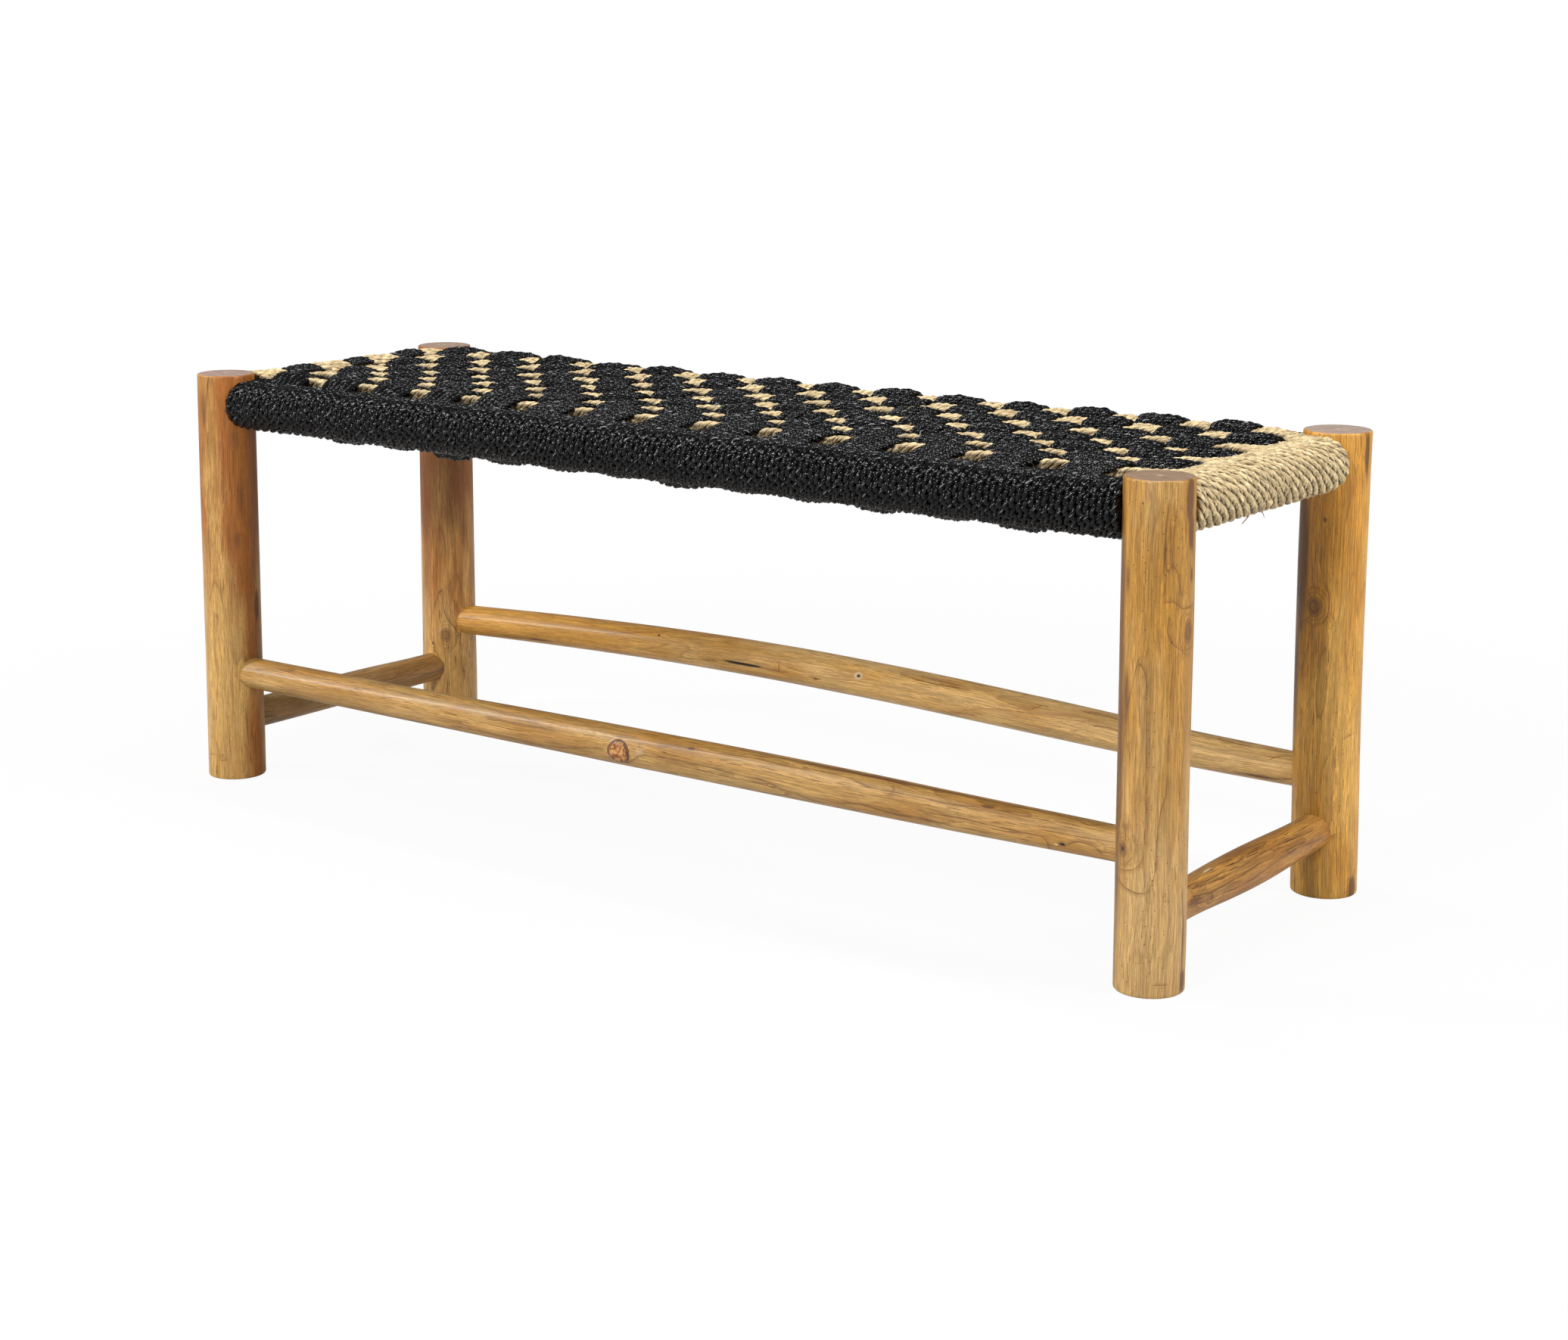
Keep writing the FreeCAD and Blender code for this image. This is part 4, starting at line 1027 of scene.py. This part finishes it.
def spacing(line, axis, roll_from, hidden):
    """Close rings where the cord shows, wide ones where another cord covers it."""
    share = np.minimum(1.0, np.abs(line[:, 0]) / END_FROM_MIDDLE) ** 2
    level = np.interp(line[:, 1], ROW_MIDDLES, MIDDLE_HEIGHTS) * (1.0 - share)
    level += np.interp(line[:, 1], ROW_MIDDLES, END_HEIGHTS) * share
    on_run = np.abs(line[:, axis]) < roll_from
    on_top = line[:, 2] > SEAT_MIDDLE
    in_view = on_top | (line[:, 1] < LOW_VIEW_Y)
    step = np.where(in_view, TOP_STEP, UNDER_STEP)
    step = np.where(on_run & on_top & (line[:, 2] < level - hidden), HIDDEN_STEP, step)
    step = np.where(on_run & ~on_top & (line[:, 2] > UNDER_MIDDLE + UNDER_HIDDEN), HIDDEN_STEP, step)
    step = np.where(on_run, step, np.where(line[:, 1] > BACK_ROLL_Y, BACK_STEP, TOP_STEP))
    return np.convolve(np.pad(step, 2, "edge"), np.full(5, 0.2), "valid")


def ring_places(line, step):
    """Places along a line at the wanted spacing, and how far each shows its strands."""
    gap = np.linalg.norm(np.diff(line, axis=0), axis=1)
    count = np.concatenate([[0.0], np.cumsum(gap / ((step[1:] + step[:-1]) / 2))])
    wanted = np.linspace(0.0, count[-1], int(count[-1]) + 1)
    shown = (HIDDEN_STEP - np.interp(wanted, count, step)) / (HIDDEN_STEP - UNDER_STEP)
    line = np.stack([np.interp(wanted, count, line[:, i]) for i in range(3)], axis=1)
    return line, np.clip(shown, 0.0, 1.0)


def directions(line, sideways):
    """Two directions square to a line at each point, the first one near to a wanted side."""
    ahead = unit(np.gradient(line, axis=0))
    across = unit(np.array(sideways) - ahead * (ahead @ np.array(sideways))[:, None])
    return across, np.cross(across, ahead)


def nesting(line, gone, axis, lay_length):
    """Extra twist that brings each turn's strands into the hollows of the turn beside it, on both rolls."""
    place = np.abs(line[:, axis])
    far = np.concatenate([[0], (place > place.max() - 8.0).astype(int), [0]])
    starts, ends = np.flatnonzero(np.diff(far) == 1), np.flatnonzero(np.diff(far) == -1)
    outer = np.array([start + np.argmax(place[start:end]) for start, end in zip(starts, ends)])
    wanted = np.pi / 2 * (np.arange(len(outer)) // 2)
    extra = (wanted - 2 * np.pi * gone[outer] / lay_length + np.pi / 2) % np.pi - np.pi / 2
    return np.interp(gone, gone[outer], extra)


def twist_cord(line, shown, sideways, size, lay_length, seed):
    """Rings of a two-strand cord along a line, its length so far, no brown, and how far out flanks lie."""
    across, upright = directions(line, sideways)
    gone = np.concatenate([[0.0], np.cumsum(np.linalg.norm(np.diff(line, axis=0), axis=1))])
    dice = np.random.default_rng(seed)
    knots = np.linspace(0.0, gone[-1], int(gone[-1] / KNOT_GAP) + 2)
    plump = np.interp(gone, knots, dice.normal(1.0, PLUMPNESS, len(knots)))
    drift = np.interp(gone, knots, dice.normal(0.0, TWIST_DRIFT, len(knots)))
    turn = 2 * np.pi * gone / lay_length + nesting(line, gone, 1 if sideways[0] else 0, lay_length) + drift
    cos, sin = np.cos(turn)[:, None], np.sin(turn)[:, None]
    section = PLAIN + shown[:, None, None] * (LOBED - PLAIN)
    first = section[..., 0] * cos - section[..., 1] * sin
    second = section[..., 0] * sin + section[..., 1] * cos
    out = first[..., None] * upright[:, None, :] + WIDEN * second[..., None] * across[:, None, :]
    rings = line[:, None, :] + (size * plump)[:, None, None] * out
    return rings, gone + NEXT_CORD * seed, 0.0, np.abs(second)


def stray_blade(points, thick, brown):
    """A loose fibre that stands out of the cord."""
    line = smooth_line("stray_route", points)
    line, _ = ring_places(line, np.full(len(line), BLADE_STEP))
    ahead = unit(np.gradient(line, axis=0))
    across = unit(np.cross(ahead, BLADE_ASIDE))
    upright = np.cross(across, ahead)
    taper = thick * np.linspace(1.0, 0.45, len(line))[:, None, None]
    flat = PLAIN * (1.0, 0.5)
    rings = line[:, None, :] + taper * (flat[:, :1] * upright[:, None, :] + flat[:, 1:] * across[:, None, :])
    return rings, np.linspace(0.0, 20.0, len(line)), brown, np.zeros((len(line), SIDES))


def cord_piece(name, strands, material, slot, nodes):
    """One mesh of several cords, each a closed tube, with a map of its surface in strips for baking."""
    points, quads, ends, maps, lays, browns, flanks = [], [], [], [], [], [], []
    base = 0
    total = sum(len(strand[0]) for strand in strands)
    strips = max(1, round(math.sqrt(total / SIDES)))
    per_strip = -(-total // strips)
    strips = sum(-(-(len(strand[0]) - 1) // per_strip) for strand in strands)
    row_start = 0
    for rings, gone, brown, flank in strands:
        count = len(rings)
        tips = np.stack([rings[0].mean(axis=0), rings[-1].mean(axis=0)])
        points.append(np.concatenate([rings.reshape(-1, 3), tips]))
        ring, side = np.meshgrid(np.arange(count - 1), np.arange(SIDES), indexing="ij")
        after = (side + 1) % SIDES
        corners = np.stack([ring * SIDES + side, ring * SIDES + after,
                            (ring + 1) * SIDES + after, (ring + 1) * SIDES + side], axis=-1)
        quads.append(corners.reshape(-1, 4) + base)
        row = row_start + ring // per_strip
        left = (ring % per_strip) / per_strip
        right = left + 1.0 / per_strip
        low = (row + 0.04 + 0.92 * side / SIDES) / strips
        high = (row + 0.04 + 0.92 * (side + 1) / SIDES) / strips
        maps.append(np.stack([left, low, left, high, right, high, right, low], axis=-1).reshape(-1, 4, 2))
        row_start += -(-(count - 1) // per_strip)
        last = (count - 1) * SIDES
        for j in range(SIDES):
            k = (j + 1) % SIDES
            ends.append((base + k, base + j, base + count * SIDES))
            ends.append((base + last + j, base + last + k, base + count * SIDES + 1))
        lay = np.empty((count, SIDES, 3))
        lay[..., :2] = ROUND
        lay[..., 2] = gone[:, None] * MM
        lays.append(np.concatenate([lay.reshape(-1, 3), lay[[0, -1], 0]]))
        browns.append(np.full(count * SIDES + 2, brown))
        flanks.append(np.concatenate([flank.ravel(), flank[[0, -1], 0]]))
        base += count * SIDES + 2
    quads = np.concatenate(quads)
    ends = np.array(ends)
    mesh = bpy.data.meshes.new(name)
    mesh.vertices.add(base)
    mesh.vertices.foreach_set("co", (np.concatenate(points) * MM).ravel())
    mesh.loops.add(quads.size + ends.size)
    mesh.loops.foreach_set("vertex_index", np.concatenate([quads.ravel(), ends.ravel()]))
    mesh.polygons.add(len(quads) + len(ends))
    starts = np.concatenate([np.arange(len(quads)) * 4, quads.size + np.arange(len(ends)) * 3])
    mesh.polygons.foreach_set("loop_start", starts)
    mesh.polygons.foreach_set("use_smooth", np.ones(len(starts), dtype=bool))
    mesh.update(calc_edges=True)
    mesh.validate()
    for label, values in (("lay", lays), ("brown", browns), ("flank", flanks)):
        paint(mesh, label, np.concatenate(values))
    chart = mesh.uv_layers.new(name="OFBake")
    tiny = np.tile(np.array([(0.0, 0.0), (0.001, 0.0), (0.0, 0.001)]), (len(ends), 1))
    chart.data.foreach_set("uv", np.concatenate([np.concatenate(maps).ravel(), tiny.ravel()]))
    piece = bpy.data.objects.new(name, mesh)
    scene.collection.objects.link(piece)
    settle(piece, slot, material, *nodes)


# Loose blades that stand out of the natural cord, by row: points of each, thickness, and 1 for a brown one
STRAY_BLADES = {
    1: [([(232, -40, 432), (232, -41, 437), (231, -40, 441), (231, -38, 443)], 0.6, 0.0)],
    2: [([(576, -18, 395), (580, -27, 391), (581, -35, 388), (581, -43, 385)], 1.6, 1.0),
        ([(578, -8, 395), (580, -6, 391), (581, -3, 388), (581, -1.5, 384.5)], 0.7, 1.0)],
    4: [([(164, 49, 436), (168, 47, 441), (174, 44, 444), (180, 42, 445)], 0.6, 0.0)],
}
BLACK_PIECES, BLACK_SEED, NATURAL_SEED = 8, 100, 200
SEAT_LAYERS = ("woven_seat_top", "woven_seat_underside")

for part, columns in enumerate(np.array_split(np.arange(COLUMNS), BLACK_PIECES)):
    strands = []
    for column in columns:
        line = smooth_line("black_route", black_route(column))
        line, shown = ring_places(line, spacing(line, 1, BLACK_ROLL_FROM, BLACK_HIDDEN))
        cord = twist_cord(line, shown, (1.0, 0.0, 0.0), BLACK_ACROSS, BLACK_LAY, BLACK_SEED + column)
        strands.append(cord)
    cord_piece(f"black_cord_{part + 1}", strands, BLACK_CORD, "black_seagrass",
               ("cord_roll_front", "cord_roll_back", *SEAT_LAYERS))
for row in range(ROWS):
    line = smooth_line("natural_route", natural_route(row))
    line, shown = ring_places(line, spacing(line, 0, NATURAL_ROLL_FROM, NATURAL_HIDDEN))
    strands = [twist_cord(line, shown, (0.0, 1.0, 0.0), NATURAL_ACROSS, NATURAL_LAY, NATURAL_SEED + row)]
    strands += [stray_blade(*blade) for blade in STRAY_BLADES.get(row, ())]
    cord_piece(f"natural_cord_{row + 1}", strands, NATURAL_CORD, "natural_seagrass",
               ("cord_roll_left", "cord_roll_right", *SEAT_LAYERS))

# Pieces that keep their imported shape: the rails under the cord, the brads and the cord tacks
# The rails are painted nearly black, as the shade that shows through the gaps between cords
RAIL_SHADE_DARK, RAIL_SHADE_LIGHT = (0.028, 0.016, 0.008, 1.0), (0.06, 0.034, 0.015, 1.0)
STEEL, RUST = (0.11, 0.105, 0.1, 1.0), (0.09, 0.042, 0.02, 1.0)


def rail_material(name, factors):
    material, tree, shader = new_material(name)
    fibre = flow(tree, "ShaderNodeTexCoord", "Object").cloudy(factors, 3.0)
    inputs = {
        "Base Color": blend(tree, fibre.fade(0.3, 0.7), RAIL_SHADE_DARK, RAIL_SHADE_LIGHT),
        "Roughness": fibre.fade(0.3, 0.7, 0.5, 0.68), "Normal": fibre.relief(0.3, 0.4),
    }
    fill_inputs(tree, shader, inputs)
    return material


def steel_material():
    material, tree, shader = new_material("dark_nail_steel")
    rust = flow(tree, "ShaderNodeTexCoord", "Object").cloudy((900, 900, 900), 3.0).fade(0.42, 0.62)
    inputs = {
        "Base Color": blend(tree, rust, STEEL, RUST),
        "Roughness": rust.fade(0.0, 1.0, 0.38, 0.75), "Metallic": rust.fade(0.0, 1.0, 0.9, 0.1),
    }
    fill_inputs(tree, shader, inputs)
    return material


def dress_nodes(material, *nodes):
    for node in nodes:
        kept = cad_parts[node]
        kept.data.materials.clear()
        kept.data.materials.append(material)


dress_nodes(rail_material("long_rail_painted_shade", (9, 420, 420)), "seat_rail_front", "seat_rail_back")
dress_nodes(rail_material("end_rail_painted_shade", (420, 9, 420)), "seat_rail_left", "seat_rail_right")
dress_nodes(steel_material(), "tenon_nails", "cord_tacks")

# Studio: a pale floor, a white surround, soft boxes, and the camera of the photograph. Lengths are in metres.
FLOOR_SIZE, FLOOR_GREY = 60.0, (0.6, 0.6, 0.6, 1.0)
SURROUND, SURROUND_STRENGTH = (0.97, 0.985, 1.0, 1.0), 0.26


def make_floor():
    bpy.ops.object.select_all(action="DESELECT")
    bpy.ops.mesh.primitive_plane_add(size=FLOOR_SIZE)
    floor = bpy.context.active_object
    floor.name = "studio_floor"
    material, tree, shader = new_material("pale_floor")
    fill_inputs(tree, shader, {"Base Color": FLOOR_GREY, "Roughness": 0.9, "Specular IOR Level": 0.0})
    away = flow(tree, "ShaderNodeTexCoord", "Object").length()
    seen = flow(tree, "ShaderNodeLightPath", "Is Camera Ray")
    glow = flow(tree, "ShaderNodeEmission", 0, None, {"Color": WHITE, "Strength": 1.0})
    inputs = {0: seen * away.fade(0.7, 1.6, 0.94, 1.0), 1: Flow(tree, shader.outputs[0]), 2: glow}
    surface = flow(tree, "ShaderNodeMixShader", 0, None, inputs)
    fill_inputs(tree, tree.nodes["Material Output"], {"Surface": surface})
    floor.data.materials.append(material)


def make_surround():
    world = bpy.data.worlds.new("studio")
    scene.world = world
    world.use_nodes = True
    tree = world.node_tree
    tree.nodes.clear()
    seen = flow(tree, "ShaderNodeLightPath", "Is Camera Ray")
    lamp = {"Color": SURROUND, "Strength": SURROUND_STRENGTH}
    lamp = flow(tree, "ShaderNodeBackground", 0, None, lamp)
    paper = flow(tree, "ShaderNodeBackground", 0, None, {"Color": WHITE, "Strength": 1.0})
    surface = flow(tree, "ShaderNodeMixShader", 0, None, {0: seen, 1: lamp, 2: paper})
    add_node(tree, "ShaderNodeOutputWorld", None, {"Surface": surface})


def make_softbox(name, place, target, width, height, power):
    lamp = bpy.data.lights.new(name, "AREA")
    lamp.shape = "RECTANGLE"
    lamp.size, lamp.size_y, lamp.energy = width, height, power
    holder = bpy.data.objects.new(name, lamp)
    scene.collection.objects.link(holder)
    place, target = np.array(place), np.array(target)
    back = unit(place - target)
    right = unit(np.cross((0.0, 0.0, 1.0), back))
    turn = np.eye(4)
    turn[:3, :4] = np.column_stack([right, np.cross(back, right), back, place])
    holder.matrix_world = Matrix(turn.tolist())


def make_camera():
    lens = bpy.data.cameras.new("photo_camera")
    lens.sensor_width = SENSOR
    lens.lens = LENS
    lens.shift_y = SHIFT_Y
    lens.clip_end = 100.0
    holder = bpy.data.objects.new("photo_camera", lens)
    scene.collection.objects.link(holder)
    holder.matrix_world = CAMERA
    scene.camera = holder


make_floor()
make_surround()
make_softbox("key_softbox", (0.4, -3.1, 1.9), (0.0, 0.0, 0.25), 0.5, 0.5, 82.0)
make_softbox("left_softbox", (-2.2, -1.5, 2.0), (0.0, 0.0, 0.35), 0.18, 2.0, 54.0)
make_softbox("right_softbox", (2.9, 0.4, 1.6), (0.3, 0.0, 0.25), 0.6, 1.4, 64.0)
make_softbox("top_softbox", (0.0, 0.2, 2.9), (0.0, 0.0, 0.4), 2.4, 0.2, 44.0)
make_camera()
scene.view_settings.view_transform = "Standard"
